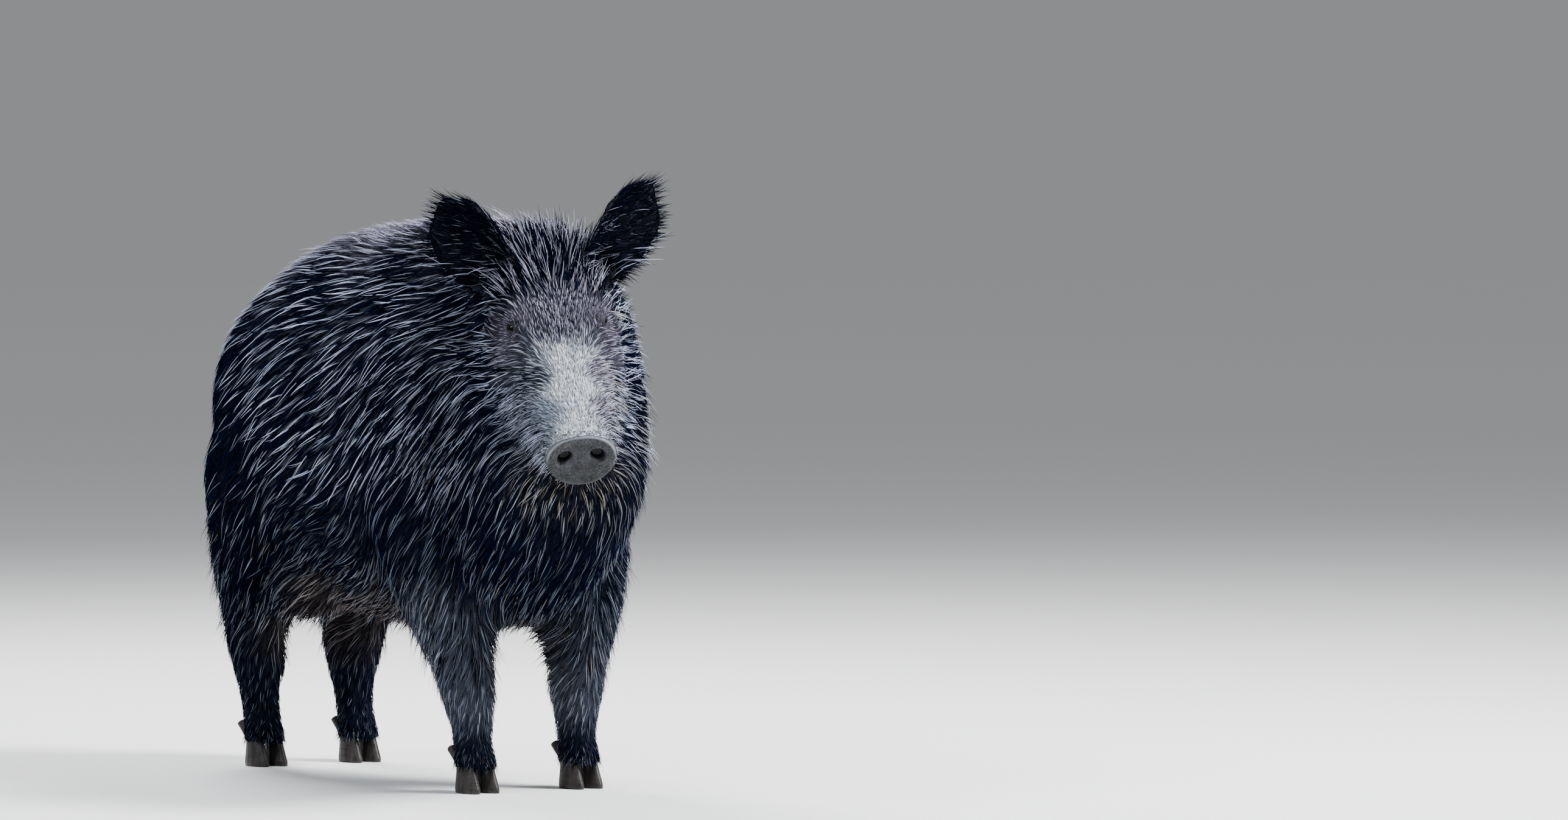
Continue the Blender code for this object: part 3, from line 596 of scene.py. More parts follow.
def lid_patch(hand, hide):
    """Both lids of an eye as rings round an almond opening, running out into the hide."""
    centre, inner, brow, look = EYES[hand]
    turn = np.arange(LID_SPOKES) * 2 * math.pi / LID_SPOKES
    x, y = np.cos(turn), np.sin(turn)
    out = np.stack((x, y), 1)
    tall = np.where(y > 0, *LID_OPEN[hand])
    edge = np.stack((EYE_CORNER * x, tall * y * np.abs(y) ** 0.35), 1)
    edge[:, 0] += TEAR_CORNER * np.clip(x, 0, 1) ** 6
    edge[:, 1] -= TEAR_CORNER * np.clip(x, 0, 1) ** 4
    level = np.array(hide.ray_cast(Vector(centre + look * 0.05), Vector(-look))[0]) - centre
    rows = []
    for beyond, above in LID_RINGS:
        flat = edge + out * beyond
        radius = EYE_RADIUS + above
        ball = np.sqrt(np.maximum(radius**2 - (flat**2).sum(1), (0.5 * radius) ** 2))
        spot = centre + np.outer(flat[:, 0], inner) + np.outer(flat[:, 1], brow)
        on_ball = spot + ball[:, None] * look
        near = [hide.find_nearest(Vector(point)) for point in spot + level @ look * look]
        on_hide = np.array([found[0] + found[1] * above for found in near])
        mix = eased(np.clip((beyond - 0.0016) / 0.0068, 0, 1))
        run = on_ball * (1 - mix) + on_hide * mix - centre
        far = np.linalg.norm(run, axis=1, keepdims=True)
        rows.append(centre + run * np.maximum(far, EYE_RADIUS + LID_CLEARANCE * (beyond > 0)) / far)
    faces = []
    for start in range(0, (len(LID_RINGS) - 1) * LID_SPOKES, LID_SPOKES):
        for spoke in range(LID_SPOKES):
            a = start + spoke
            b = start + (spoke + 1) % LID_SPOKES
            faces.append((a, b, b + LID_SPOKES, a + LID_SPOKES))
    return np.concatenate(rows), faces


DISC_BACK = (0.400, 0.0, -0.066)
DISC_LEAN = math.radians(12)
DISC_SIZE = (0.053, 0.040, 0.044)  # half its width, its middle to the top, and to the bottom
DISC_ROUNDNESS = 2.2
DISC_NARROWING = 2.6
DISC_HIDES = 0.036  # the radius that locks keep out of
DISC_HIDES_WHISKERS = 0.050
MUZZLE_FLARE = 0.030
MUZZLE_REACH = 0.025
MUZZLE_END = 0.075


def disc_axes():
    """The disc's own frame: left, up and out of its face."""
    out = HEAD_TURN @ np.array((math.cos(DISC_LEAN), 0, math.sin(DISC_LEAN)))
    left = HEAD_TURN[:, 1]
    return np.stack((left, np.cross(out, left), out), 1)


def disc_outline(turn):
    power = 2 / DISC_ROUNDNESS
    wide, tall_up, tall_down = DISC_SIZE
    x = wide * np.sign(np.cos(turn)) * np.abs(np.cos(turn)) ** power
    tall = np.where(np.sin(turn) > 0, tall_up, tall_down)
    y = tall * np.sign(np.sin(turn)) * np.abs(np.sin(turn)) ** power
    return x * (1 - DISC_NARROWING * np.maximum(-y, 0)), y


def meet_disc(points):
    """Widens the end of the muzzle up to the rim of the disc."""
    axes = disc_axes()
    local = (points - from_head(DISC_BACK)) @ axes
    far = np.hypot(local[:, 0], local[:, 1])
    x, y = disc_outline(np.linspace(-math.pi, math.pi, 721))
    angle = np.arctan2(y, x)
    order = np.argsort(angle)
    full = np.interp(np.arctan2(local[:, 1], local[:, 0]), angle[order], np.hypot(x, y)[order])
    near = np.clip((local[:, 2] + MUZZLE_FLARE) / MUZZLE_FLARE, 0, 1) * (far < MUZZLE_END)
    near = eased(near)
    side = np.clip((far / full - 0.55) / 0.30, 0, 1)
    wanted = full * (0.955 + 0.035 * near + 0.018 * (local[:, 1] > 0))
    scale = 1 + (wanted / np.maximum(far, 1e-6) - 1) * near * side
    local[:, :2] *= scale[:, None]
    local[:, 2] += MUZZLE_REACH * near * np.clip(far / full, 0, 1)
    limit = 0.002 + 0.130 * np.clip(far / full - 0.82, 0, 1)  # behind the face of the disc
    ahead = (near > 0) & (local[:, 2] > limit)
    local[ahead, 2] = limit[ahead]
    return from_head(DISC_BACK) + local @ axes.T


def behind_disc(points, radius):
    """Which points the disc hides."""
    local = (points - from_head(DISC_BACK)) @ disc_axes()
    return (local[:, 2] > -0.010) & (np.hypot(local[:, 0], local[:, 1]) < radius)


def what_grows(points, labels, around):
    """The coat's qualities at each vertex, with the ears' and the eyes' own."""
    coat = blend_places(points)
    ears = is_flesh(labels, "ear_")
    for name, value in EAR_HAIR.items():
        coat[name][ears] = value
    for name in Hair._fields:
        coat[name] = around.relaxed(coat[name], BLEND_ROUNDS)
    ring = np.clip(EYE_HAIR_GAIN * near_eyes(points, EYE_HAIR_RADIUS), 0, 1)
    for name, value in EYE_HAIR.items():
        share = ring if np.isscalar(value) else ring[:, None]
        coat[name] = coat[name] * (1 - share) + np.array(value) * share
    close = near_eyes(points, LID_COAT_RADIUS)
    coat["depth"] = coat["depth"] * (1 - close) + LID_COAT * close
    return coat


def make_skin():
    """The hide under the coat, with what grows on each of its vertices."""
    skin = closed_flesh()
    mesh = skin.data
    set_coordinates(mesh, Neighbours(mesh).smoothed(coordinates(mesh), SKIN_SMOOTHING))
    refine_face(mesh)
    around = Neighbours(mesh)
    points = around.smoothed(coordinates(mesh), 4)
    set_coordinates(mesh, points)
    labels = node_labels(points)
    coat = what_grows(points, labels, around)
    set_coordinates(mesh, points - normals(mesh) * coat["depth"][:, None])
    points = around.smoothed(coordinates(mesh), 6)
    set_coordinates(mesh, points)
    set_coordinates(mesh, meet_disc(fold(points, normals(mesh))))
    mesh.shade_smooth()
    return skin, coat, labels


def leave_bare(coat, points):
    """No locks grow on the lids, on the scar and behind the disc."""
    coat["cover"] = coat["cover"] * np.clip(1.5 - 1.8 * near_eyes(points, LID_BARE), 0, 1)
    coat["cover"][np.linalg.norm(points - from_head(SCAR), axis=1) < SCAR_BARE] = 0.0
    coat["cover"][behind_disc(points, DISC_HIDES)] = 0.0


def add_lids(skin):
    """Joins the lids to the hide, which dips away beneath them."""
    mesh = skin.data
    hide = BVHTree.FromPolygons(
        [v.co.copy() for v in mesh.vertices], [tuple(p.vertices) for p in mesh.polygons]
    )
    lids = [lid_patch(hand, hide) for hand in EYES]
    points = coordinates(mesh)
    for eye in EYES.values():
        away = np.linalg.norm(points - eye.centre, axis=1)
        points -= np.outer(LID_DIP * np.clip(1.5 - away / EYE_RADIUS, 0, 1), eye.look)
    set_coordinates(mesh, points)
    select(skin, *[new_object("lids", *lid) for lid in lids])
    bpy.ops.object.join()
    skin.data.shade_smooth()


def ear_axis(node):
    """An ear's root and tip: its nearest end to the poll, and its farthest point."""
    points = coordinates(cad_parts[node].data)
    away = np.linalg.norm(points - HEAD_POLL, axis=1)
    near = points[away < np.quantile(away, 0.15)].mean(0)
    return near, points[away.argmax()]


COMB_ROUNDS = 14
EYE_WHORL = 0.026  # the radius in which the hair lies away from an eye
EYE_WHORL_SHARE = 0.85


def combed(mesh, coat, labels):
    """The way the hair lies at each vertex, along the skin."""
    points = coordinates(mesh)
    up = normals(mesh)
    lie = unit(coat["lie"])
    for hand, eye in EYES.items():
        ear = labels == FLESH.index(f"ear_{hand}")
        root, tip = ear_axis(f"ear_{hand}")
        reach = np.linalg.norm(tip - root)
        run = (tip - root) / reach
        place = (points[ear] - root) @ run
        aside = points[ear] - root - place[:, None] * run
        lie[ear] = run + aside * (0.5 / reach) * np.clip(place / reach, 0, 1)[:, None] * 2
        out = points - eye.centre
        near = np.exp(-((out**2).sum(1)) / EYE_WHORL**2)[:, None]
        lie = lie * (1 - EYE_WHORL_SHARE * near) + unit(out) * EYE_WHORL_SHARE * near
    around = Neighbours(mesh)
    for _ in range(COMB_ROUNDS):
        lie = unit(lie - up * (lie * up).sum(1, keepdims=True))
        lie = lie + 0.6 * (around.mean(lie) - lie)
    return unit(lie - up * (lie * up).sum(1, keepdims=True))


# ---- coat


def tree_of(points):
    tree = KDTree(len(points))
    for number, point in enumerate(points):
        tree.insert(point, number)
    tree.balance()
    return tree


class Ground:
    """The skin as the coat sees it: places, normals, the lie of the hair and its qualities."""

    def __init__(self, mesh, coat, labels, lie):
        self.points = coordinates(mesh)
        self.up = normals(mesh)
        self.lie = lie
        self.coat = coat
        self.labels = labels
        mesh.calc_loop_triangles()
        self.triangles = read(mesh.loop_triangles, "vertices", 3, np.int32)
        a, b, c = (self.points[self.triangles[:, i]] for i in range(3))
        self.areas = np.linalg.norm(np.cross(b - a, c - a), axis=1) / 2
        self.tree = tree_of(self.points)

    def nearest(self, points):
        find = self.tree.find
        return np.fromiter((find(point)[1] for point in points), np.int64, len(points))


COAT_PIECES = (  # how the names of flesh nodes start, and their coat, with a side where it has one
    ("trunk_rump", "coat_rump_{}"),
    ("trunk_barrel", "coat_flank_{}"),
    ("trunk_shoulders", "coat_shoulder_{}"),
    ("neck", "coat_neck_{}"),
    ("tail", "coat_tail"),
    ("ear_", "coat_ears"),
    ("front_", "coat_front_legs"),
    ("rear_", "coat_rear_legs"),
)


def patches(ground):
    """For each skin triangle, the name of the coat piece that covers it."""
    labels = ground.labels[ground.triangles[:, 0]]
    points = ground.points[ground.triangles].mean(1)
    hand = np.where(points[:, 0] < 0, "right", "left")
    names = head_patches(to_head(points))
    for start, piece in COAT_PIECES:
        here = is_flesh(labels, start)
        names[here] = [piece.format(side) for side in hand[here]]
    return names


def head_patches(local):
    forward, aside, above = local.T
    names = np.where(aside > 0, "coat_cheek_left", "coat_cheek_right").astype(object)
    names[(forward < 0.12) & (above > -0.10)] = "coat_crown"
    names[(forward >= 0.12) & (above > -0.075 - 0.1 * np.abs(aside))] = "coat_face"
    names[(above < -0.14) & (np.abs(aside) < 0.055)] = "coat_beard"
    return names


UNDER_WIDTH = 1.35  # of the dark locks, as a share of the pale ones above them
STRAY = 0.10  # how far locks turn from the lie of the coat, in radians
ROOT_SINK = 0.0015
PATCH = 0.0030  # the size of a lock's own patch on the unwrap
LOCK_TAPER = 1.7
LOCK_WAVE = 0.035  # as a share of a lock's length
LOOSE_SHARE = 0.05  # of the locks, which stand higher than the others
LOOSE_LIFT = 1.5


def scatter(ground, chosen):
    """Roots spread evenly over some triangles, as (triangle, corner weights)."""
    corners = ground.triangles[chosen]
    length, width, cover = (ground.coat[key][corners].mean(1) for key in ("length", "width", "cover"))
    wanted = cover * ground.areas[chosen] / (0.5 * length * width * UNDER_WIDTH)
    total = np.cumsum(wanted) + draw.random()
    number = np.floor(total).astype(int)
    number[1:] -= number[:-1].copy()
    triangle = np.repeat(chosen, np.maximum(number, 0))
    u = draw.random(len(triangle))
    v = draw.random(len(triangle))
    over = u + v > 1
    u[over] = 1 - u[over]
    v[over] = 1 - v[over]
    return triangle, np.stack((1 - u - v, u, v), 1)


def at_roots(ground, values, triangle, weights):
    corners = values[ground.triangles[triangle]]
    if corners.ndim == 2:
        return (corners * weights).sum(1)
    return (corners * weights[:, :, None]).sum(1)


def along_and_across(run, lie, across, reach, gap):
    """The length of each run, measured in strides along the hair and gaps across it."""
    return ((run @ lie) / reach) ** 2 + ((run @ across) / gap) ** 2


def lying(ground, root):
    """The lie of the hair at some roots, and the way across it."""
    nearest = ground.nearest(root)
    lie = ground.lie[nearest]
    return lie, np.cross(ground.up[nearest], lie)


def spaced(ground, root, reach, gap, order):
    """Some of the roots, no two of them within a reach along the hair and a gap across it."""
    lie, across = lying(ground, root)
    tree = tree_of(root)
    taken = np.zeros(len(root), bool)
    wide = np.maximum(reach, gap)
    for number in order:
        near = tree.find_range(root[number], wide[number])
        others = [other for _, other, _ in near if taken[other]]
        if others:
            run = root[others] - root[number]
            apart = along_and_across(run, lie[number], across[number], reach[number], gap[number])
            if apart.min() < 1:
                continue
        taken[number] = True
    return np.flatnonzero(taken)


def followed(ground, root, reach, gap):
    """For every lock, the evenly spaced leader that it gathers to."""
    count = len(root)
    some = draw.permutation(count)[: max(count // 2, 1)]
    leader = spaced(ground, root, reach, gap, some)
    lie, across = lying(ground, root)
    heads = tree_of(root[leader])
    follow = np.empty(count, int)
    for number, point in enumerate(root):
        near = [other for _, other, _ in heads.find_n(point, 6)]
        run = root[leader[near]] - point
        apart = along_and_across(run, lie[number], across[number], reach[number], gap[number])
        follow[number] = leader[near[apart.argmin()]]
    return follow


def grow(ground, tufts, rings):
    """The path of each lock over the skin, with its side and upward directions."""
    count = len(tufts["root"])
    path = np.empty((count, rings + 1, 3))
    side = np.empty_like(path)
    over = np.empty_like(path)
    base = tufts["root"].copy()
    for step in range(rings + 1):
        share = step / rings
        index = ground.nearest(base)
        up = ground.up[index]
        base = base - up * ((base - ground.points[index]) * up).sum(1, keepdims=True)
        lie = ground.lie[index]
        across = np.cross(up, lie)
        lie = lie * np.cos(tufts["stray"])[:, None] + across * np.sin(tufts["stray"])[:, None]
        height = tufts["depth"] * tufts["lift"] * share**0.8 - ROOT_SINK * (step == 0)
        swing = tufts["wave"] * np.sin(tufts["phase"] + 5.0 * share) * share
        path[:, step] = base + up * height[:, None] + across * swing[:, None]
        side[:, step] = unit(np.cross(up, lie))
        over[:, step] = up
        base = base + lie * (tufts["length"] / rings)[:, None]
    return path, side, over


def gather_clumps(tufts, path):
    """Draws the locks towards their leader at their tips."""
    rings = path.shape[1] - 1
    share = (np.arange(rings + 1) / rings) ** 1.3
    pull = tufts["clump"][:, None] * share[None, :]
    return path + pull[:, :, None] * (path[tufts["leader"]] - path)


def lock_mesh(ground, tufts, here, rings):
    """Closed, tapering locks with three edges and a number of rings."""
    part = {key: values[here] for key, values in tufts.items()}
    place = np.full(len(tufts["root"]), -1)
    place[here] = np.arange(len(here))
    alone = place[part["leader"]] < 0
    part["leader"] = np.where(alone, np.arange(len(here)), place[part["leader"]])
    path, side, over = grow(ground, part, rings)
    return locks_along(part, gather_clumps(part, path), side, over)


def locks_along(part, path, side, over):
    """The mesh of some locks, from their paths."""
    count = len(path)
    rings = path.shape[1] - 1
    share = np.arange(rings) / rings
    radius = 0.5 * part["width"][:, None] * (1 - share**LOCK_TAPER)[None, :]
    radius[:, 0] *= 0.8
    corners = np.empty((count, rings, 3, 3))
    body = path[:, :rings]
    corners[:, :, 0] = body + side[:, :rings] * radius[:, :, None]
    corners[:, :, 1] = body + over[:, :rings] * (0.8 * radius[:, :, None])
    corners[:, :, 2] = body - side[:, :rings] * radius[:, :, None]
    vertices = np.concatenate((corners.reshape(count, rings * 3, 3), path[:, rings:]), 1)
    size = rings * 3 + 1
    faces = [(2, 1, 0)]
    for start in range(0, rings * 3, 3):
        for a, b in ((start, start + 1), (start + 1, start + 2), (start + 2, start)):
            if start + 3 < rings * 3:
                faces += [(a, b, b + 3), (a, b + 3, a + 3)]
            else:
                faces.append((a, b, size - 1))
    faces = np.array(faces)[None] + size * np.arange(count)[:, None, None]
    along = np.append(np.repeat(share, 3), 1.0)
    u = np.append(np.tile((-0.5, 0.1, 0.5), rings), 0.0)
    v = along - 0.5 + np.append(np.tile((0.0, 0.12, 0.0), rings), 0.0)
    patch = part["uv"][:, None] + PATCH * np.stack((u, v), 1)[None]
    return {
        "vertices": vertices.reshape(-1, 3),
        "faces": faces.reshape(-1, 3),
        "map": patch.reshape(-1, 2),
        "along": np.tile(along, count),
        "tint": np.repeat(part["tint"], size, 0),
        "shade": np.repeat(part["shade"], size, 0),
    }


def on_unwrap(ground, chosen, triangle, weights):
    """The places of some roots on an unwrap of the skin's own shape, near its chosen triangles."""
    used, faces = np.unique(ground.triangles[chosen], return_inverse=True)
    piece = new_object("unwrap", ground.points[used], faces.reshape(-1, 3))
    mesh = piece.data
    select(piece)
    mesh.uv_layers.new(name="UVMap")
    bpy.ops.object.mode_set(mode="EDIT")
    bpy.ops.mesh.select_all(action="SELECT")
    bpy.ops.uv.smart_project(
        angle_limit=math.radians(70), island_margin=0.006, scale_to_bounds=True
    )
    bpy.ops.object.mode_set(mode="OBJECT")
    corners = np.full((len(ground.triangles), 3, 2), 0.5)
    corners[chosen] = read(mesh.uv_layers[0].data, "uv", 2).reshape(-1, 3, 2)
    bpy.data.objects.remove(piece)
    bpy.data.meshes.remove(mesh)
    return np.clip((corners[triangle] * weights[:, :, None]).sum(1), PATCH, 1 - PATCH)


CLUMP_GAP = 3.0  # from one clump to the next, in widths of a lock
CLUMP_REACH = 0.30  # the same along the hair, in lengths of a lock
CLUMP_LENGTH = 0.045  # shorter hair gathers less
LONG_LOCK = 0.020  # longer ones bend in more places


def under_coat(ground, coat, root, uv):
    """The dark locks that cover the skin, gathered in small clumps."""
    count = len(root)
    gap = CLUMP_GAP * coat["width"]
    reach = np.maximum(CLUMP_REACH * coat["length"], gap)
    tufts = {
        "root": root,
        "uv": uv,
        "depth": coat["depth"],
        "leader": followed(ground, root, reach, gap),
        "length": coat["length"] * draw.uniform(0.7, 1.15, count),
        "width": UNDER_WIDTH * coat["width"] * draw.uniform(0.8, 1.2, count),
        "lift": draw.uniform(0.3, 0.75, count),
        "stray": draw.normal(0, STRAY, count),
        "clump": draw.uniform(0.4, 0.85, count) * np.clip(coat["length"] / CLUMP_LENGTH, 0.15, 1),
        "rings": np.where(coat["length"] > LONG_LOCK, 3, 2),
    }
    pale = draw.random(count) < np.clip((coat["pale"] - 0.45) / 0.5, 0, 0.9)
    light = draw.uniform(0.4, 1.1, count)[:, None]
    dark = draw.uniform(0.5, 1.7, count)[:, None]
    tufts["tint"] = np.where(pale[:, None], coat["tint"] * light, coat["shade"] * dark * 1.4)
    tufts["shade"] = coat["shade"] * dark
    return tufts


STREAK_GAP = 1.05  # between streaks, in widths of a lock where the coat is all pale
STREAK_REACH = 0.72  # the same along the hair, in lengths of a lock
SHORT_STREAK = 0.016  # shorter ones have no side branch


def top_coat(ground, coat, root, uv):
    """Pale streaks on top: one long lock, with a smaller one running into it."""
    gap = STREAK_GAP * coat["width"] / np.clip(coat["pale"], 0.05, 1)
    reach = np.maximum(STREAK_REACH * coat["length"], gap)
    chosen = spaced(ground, root, reach, gap, draw.permutation(len(root)))
    count = len(chosen)
    lie, across = lying(ground, root[chosen])
    coat = {key: values[chosen] for key, values in coat.items()}
    # Each streak's brightness: the hair's own pale tone, with painted sheen.
    light = (0.35 + 1.05 * draw.random(count) ** 1.2)[:, None]
    parts = []
    for main, long, wide, tone in (
        (True, (0.8, 1.2), (0.8, 1.15), 1.0),
        (False, (0.6, 1.0), (0.50, 0.80), 0.8),
    ):
        start = root[chosen]
        if not main:
            back = draw.uniform(-0.30, 0.20, count) * coat["length"]
            aside = draw.choice((-1, 1), count) * draw.uniform(0.35, 0.65, count) * gap[chosen]
            start = start + lie * back[:, None] + across * aside[:, None]
        part = {
            "root": start,
            "uv": uv[chosen],
            "depth": coat["depth"],
            "leader": np.arange(count),
            "length": coat["length"] * draw.uniform(*long, count),
            "width": coat["width"] * draw.uniform(*wide, count),
            "lift": draw.uniform(0.8, 1.1, count),
            "stray": draw.normal(0, STRAY, count),
            "clump": np.zeros(count) if main else draw.uniform(0.7, 1.0, count),
            "tint": coat["tint"] * light * tone,
            "shade": coat["shade"],
            "rings": np.select([coat["length"] > 0.045, coat["length"] > 0.018], [5, 4], 2),
        }
        kept = main | (coat["length"] >= SHORT_STREAK)
        parts.append({key: values[kept] for key, values in part.items()})
    return {key: np.concatenate([part[key] for part in parts]) for key in parts[0]}


def coat_layers(ground, chosen):
    """All the lying locks over some triangles."""
    triangle, weights = scatter(ground, chosen)
    uv = on_unwrap(ground, chosen, triangle, weights)
    coat = {key: at_roots(ground, ground.coat[key], triangle, weights) for key in ground.coat}
    root = at_roots(ground, ground.points, triangle, weights)
    layers = []
    for layer in (under_coat, top_coat):
        tufts = layer(ground, coat, root, uv)
        count = len(tufts["root"])
        tufts["phase"] = draw.uniform(0, 6.28, count)
        tufts["wave"] = LOCK_WAVE * tufts["length"] * draw.uniform(0.3, 1.2, count)
        tufts["lift"] = tufts["lift"] * np.where(draw.random(count) < LOOSE_SHARE, LOOSE_LIFT, 1.0)
        for rings in range(2, 6):
            here = np.flatnonzero(tufts["rings"] == rings)
            if len(here):
                layers.append(lock_mesh(ground, tufts, here, rings))
    return layers


# ---- standing hair

# How many locks there are, their length and width, their rings, how far they sag and bend, and
# their tones with the share of each one.
Standing = namedtuple("Standing", "count length width rings sag bend tones")
EAR_FRINGE = Standing(
    3400, 0.021, 0.0015, 3, 0.05, 0.10, ((INK, 0.55), (SOOT, 0.41), (PEWTER, 0.04))
)
CREST_LOCKS = Standing(
    1100, 0.056, 0.0019, 4, 0.10, 0.10, ((LILAC, 0.20), (PEWTER, 0.14), (INK, 0.66))
)
RUFF_LOCKS = Standing(1300, 0.050, 0.0018, 4, 0.12, 0.10, ((SILVER, 0.30), (INK, 0.70)))
SWEEP = {
    "left": Standing(
        1500, 0.042, 0.0012, 4, 0.22, 0.06, ((ICE, 0.30), (STRAW, 0.26), (SOOT, 0.44))
    ),
    # The right side's strands are dimmer and greyer: painted shade.
    "right": Standing(
        1500, 0.042, 0.0012, 4, 0.22, 0.06, ((ICE, 0.14), (PEWTER, 0.46), (INK, 0.40))
    ),
}
SHAG_TONES = ((INK, 0.60), (BISTRE, 0.12), (SLATE, 0.14), (FAWN, 0.08), (PEWTER, 0.06))
SHAG = Standing(4200, 0.048, 0.0019, 3, 0.10, 0.10, SHAG_TONES)
TASSEL = Standing(260, 0.035, 0.0017, 4, 0.12, 0.10, ((INK, 0.6), (SOOT, 0.25), (SLATE, 0.15)))
FETLOCKS = Standing(
    1500, 0.017, 0.0014, 2, 0.0, 0.10, ((INK, 0.60), (SLATE, 0.25), (UMBER, 0.15))
)
WHISKERS = Standing(
    380, 0.026, 0.0008, 4, 0.12, 0.10, ((SILVER, 0.35), (TAN, 0.25), (INK, 0.40))
)
LASHES = Standing(1500, 0.011, 0.0006, 3, 0.12, 0.10, ((INK, 0.8), (LILAC, 0.2)))
EYE_STRANDS = Standing(8, 0.052, 0.0011, 4, 0.25, 0.05, ((FROST, 1.0),))
STANDING_SINK = 0.003
STANDING_STRAY = 0.12
CHIN_TOP = -0.14  # above the poll's level
CHIN_WHISKER = 0.042
TAIL_HAIR_TOP = 0.50
HOOF_HAIR_TOP = 0.062

Roots = namedtuple("Roots", "spot uv up lie")


def some_of(roots, mask):
    """The roots that a mask picks."""
    return Roots(*(values[mask] for values in roots))


def strewn(ground, mask, hair):
    """Roots strewn over the triangles that start at some of the vertices."""
    chosen = np.flatnonzero(mask[ground.triangles[:, 0]])
    share = ground.areas[chosen] / ground.areas[chosen].sum()
    triangle = draw.choice(chosen, hair.count, p=share)
    weights = draw.dirichlet((1, 1, 1), hair.count)
    spot, up, lie = (
        at_roots(ground, values, triangle, weights)
        for values in (ground.points, ground.up, ground.lie)
    )
    return Roots(spot, on_unwrap(ground, chosen, triangle, weights), unit(up), unit(lie))


def standing_locks(roots, way, hair):
    """Locks that stand clear of the skin, each in its own direction and one of some tones."""
    count = len(roots.spot)
    share = np.linspace(0, 1, hair.rings + 1)
    way = unit(way + draw.normal(0, STANDING_STRAY, (count, 3)))
    curve = unit(draw.normal(0, 1, (count, 3))) * hair.bend + np.array((0, 0, -hair.sag))
    start = roots.spot - way * STANDING_SINK
    size = (hair.length * draw.uniform(0.6, 1.15, count))[:, None, None]
    path = start[:, None] + size * (
        way[:, None] * share[None, :, None] + curve[:, None] * (share**2)[None, :, None]
    )
    flat = unit(np.cross(roots.up, way) + 1e-6)
    side = np.repeat(flat[:, None], hair.rings + 1, 1)
    over = np.repeat(unit(np.cross(way, flat))[:, None], hair.rings + 1, 1)
    chosen = draw.choice(len(hair.tones), count, p=[share for _, share in hair.tones])
    tint = np.array([tone for tone, _ in hair.tones])[chosen]
    tint = tint * draw.uniform(0.5, 1.2, count)[:, None]
    tufts = {
        "width": hair.width * draw.uniform(0.7, 1.2, count),
        "uv": roots.uv,
        "tint": tint,
        "shade": np.minimum(tint * 0.5, 0.02),
    }
    return locks_along(tufts, path, side, over)


def ear_fringe(ground):
    """Long hair from the faces, the rim and the tip of both ears."""
    layers = []
    both = strewn(ground, is_flesh(ground.labels, "ear_"), EAR_FRINGE)
    for hand, sign in SIDES.items():
        roots = some_of(both, (both.spot[:, 0] - HEAD_POLL[0]) * sign > 0)
        base, tip = ear_axis(f"ear_{hand}")
        reach = np.linalg.norm(tip - base)
        run = (tip - base) / reach
        centred = roots.spot - roots.spot.mean(0)
        flat = np.linalg.svd(centred, full_matrices=False)[2][2]
        across = np.cross(flat, run)
        if across @ HEAD_TURN[:, 1] * sign < 0:
            across = -across
        aside = centred @ across / np.quantile(np.abs(centred @ across), 0.95)
        place = np.clip((roots.spot - base) @ run / reach, 0, 1)
        way = run * (0.9 + 0.6 * place)[:, None] + np.outer(0.15 + 0.55 * aside, across)
        long = EAR_FRINGE.length + 0.010 * np.abs(aside) + 0.010 * place**2
        layers.append(standing_locks(roots, way + 0.22 * roots.up, EAR_FRINGE._replace(length=long)))
    return layers


def crest(ground):
    """The upright hair between the ears."""
    forward, aside, above = to_head(ground.points).T
    mask = between(forward, -0.06, 0.10) & (np.abs(aside) < 0.075) & (above > -0.06)
    roots = strewn(ground, mask, CREST_LOCKS)
    forward, aside, above = to_head(roots.spot).T
    back = -0.55 - 2.0 * np.clip(0.04 - forward, 0, 0.1)
    way = np.stack((back, 7.0 * aside, np.full(len(back), 0.85)), 1)
    return [standing_locks(roots, unit(way @ HEAD_TURN.T) + 0.6 * roots.lie, CREST_LOCKS)]


def ruff(ground):
    """Locks that break the outline of the cheeks and the jaw."""
    forward, aside, above = to_head(ground.points).T
    mask = between(forward, -0.05, 0.22) & between(above, -0.36, -0.03) & (np.abs(aside) > 0.07)
    mask &= near_eyes(ground.points, EYE_HAIR_RADIUS) < 0.25
    roots = strewn(ground, mask, RUFF_LOCKS)
    return [standing_locks(roots, roots.lie + 0.38 * roots.up, RUFF_LOCKS)]


def muzzle_sweep(ground):
    """Long pale strands that sweep from the edges of the blaze over the sides of the muzzle."""
    forward, aside, above = to_head(ground.points).T
    mask = between(forward, 0.235, 0.385) & between(above, -0.125, -0.035)
    mask &= np.abs(aside) > 0.036
    both = strewn(ground, mask, SWEEP["left"])
    layers = []
    for hand, sign in SIDES.items():
        roots = some_of(both, np.sign(to_head(both.spot)[:, 1]) == sign)
        way = np.array([(-0.45, 0.50 * sign, -0.75)]) @ HEAD_TURN.T
        layers.append(standing_locks(roots, way + 0.28 * roots.up + 0.35 * roots.lie, SWEEP[hand]))
    return layers


def shag(ground):
    """Loose hair that hangs from the belly, the folds of the flanks and the tops of the legs."""
    low = ground.points[:, 2]
    mask = is_flesh(ground.labels, "leg_upper")
    mask |= is_flesh(ground.labels, "trunk_", "neck") & (low < 0.36)
    mask |= is_flesh(ground.labels, "neck") & (low < 0.60)
    roots = strewn(ground, mask, SHAG)
    below = np.clip((0.34 - roots.spot[:, 2]) / 0.10, 0, 1) * np.clip(-roots.up[:, 2], 0, 1)
    way = roots.lie + 0.34 * roots.up + np.outer(below, (0, 0.2, -0.4))
    return [standing_locks(roots, way, SHAG)]


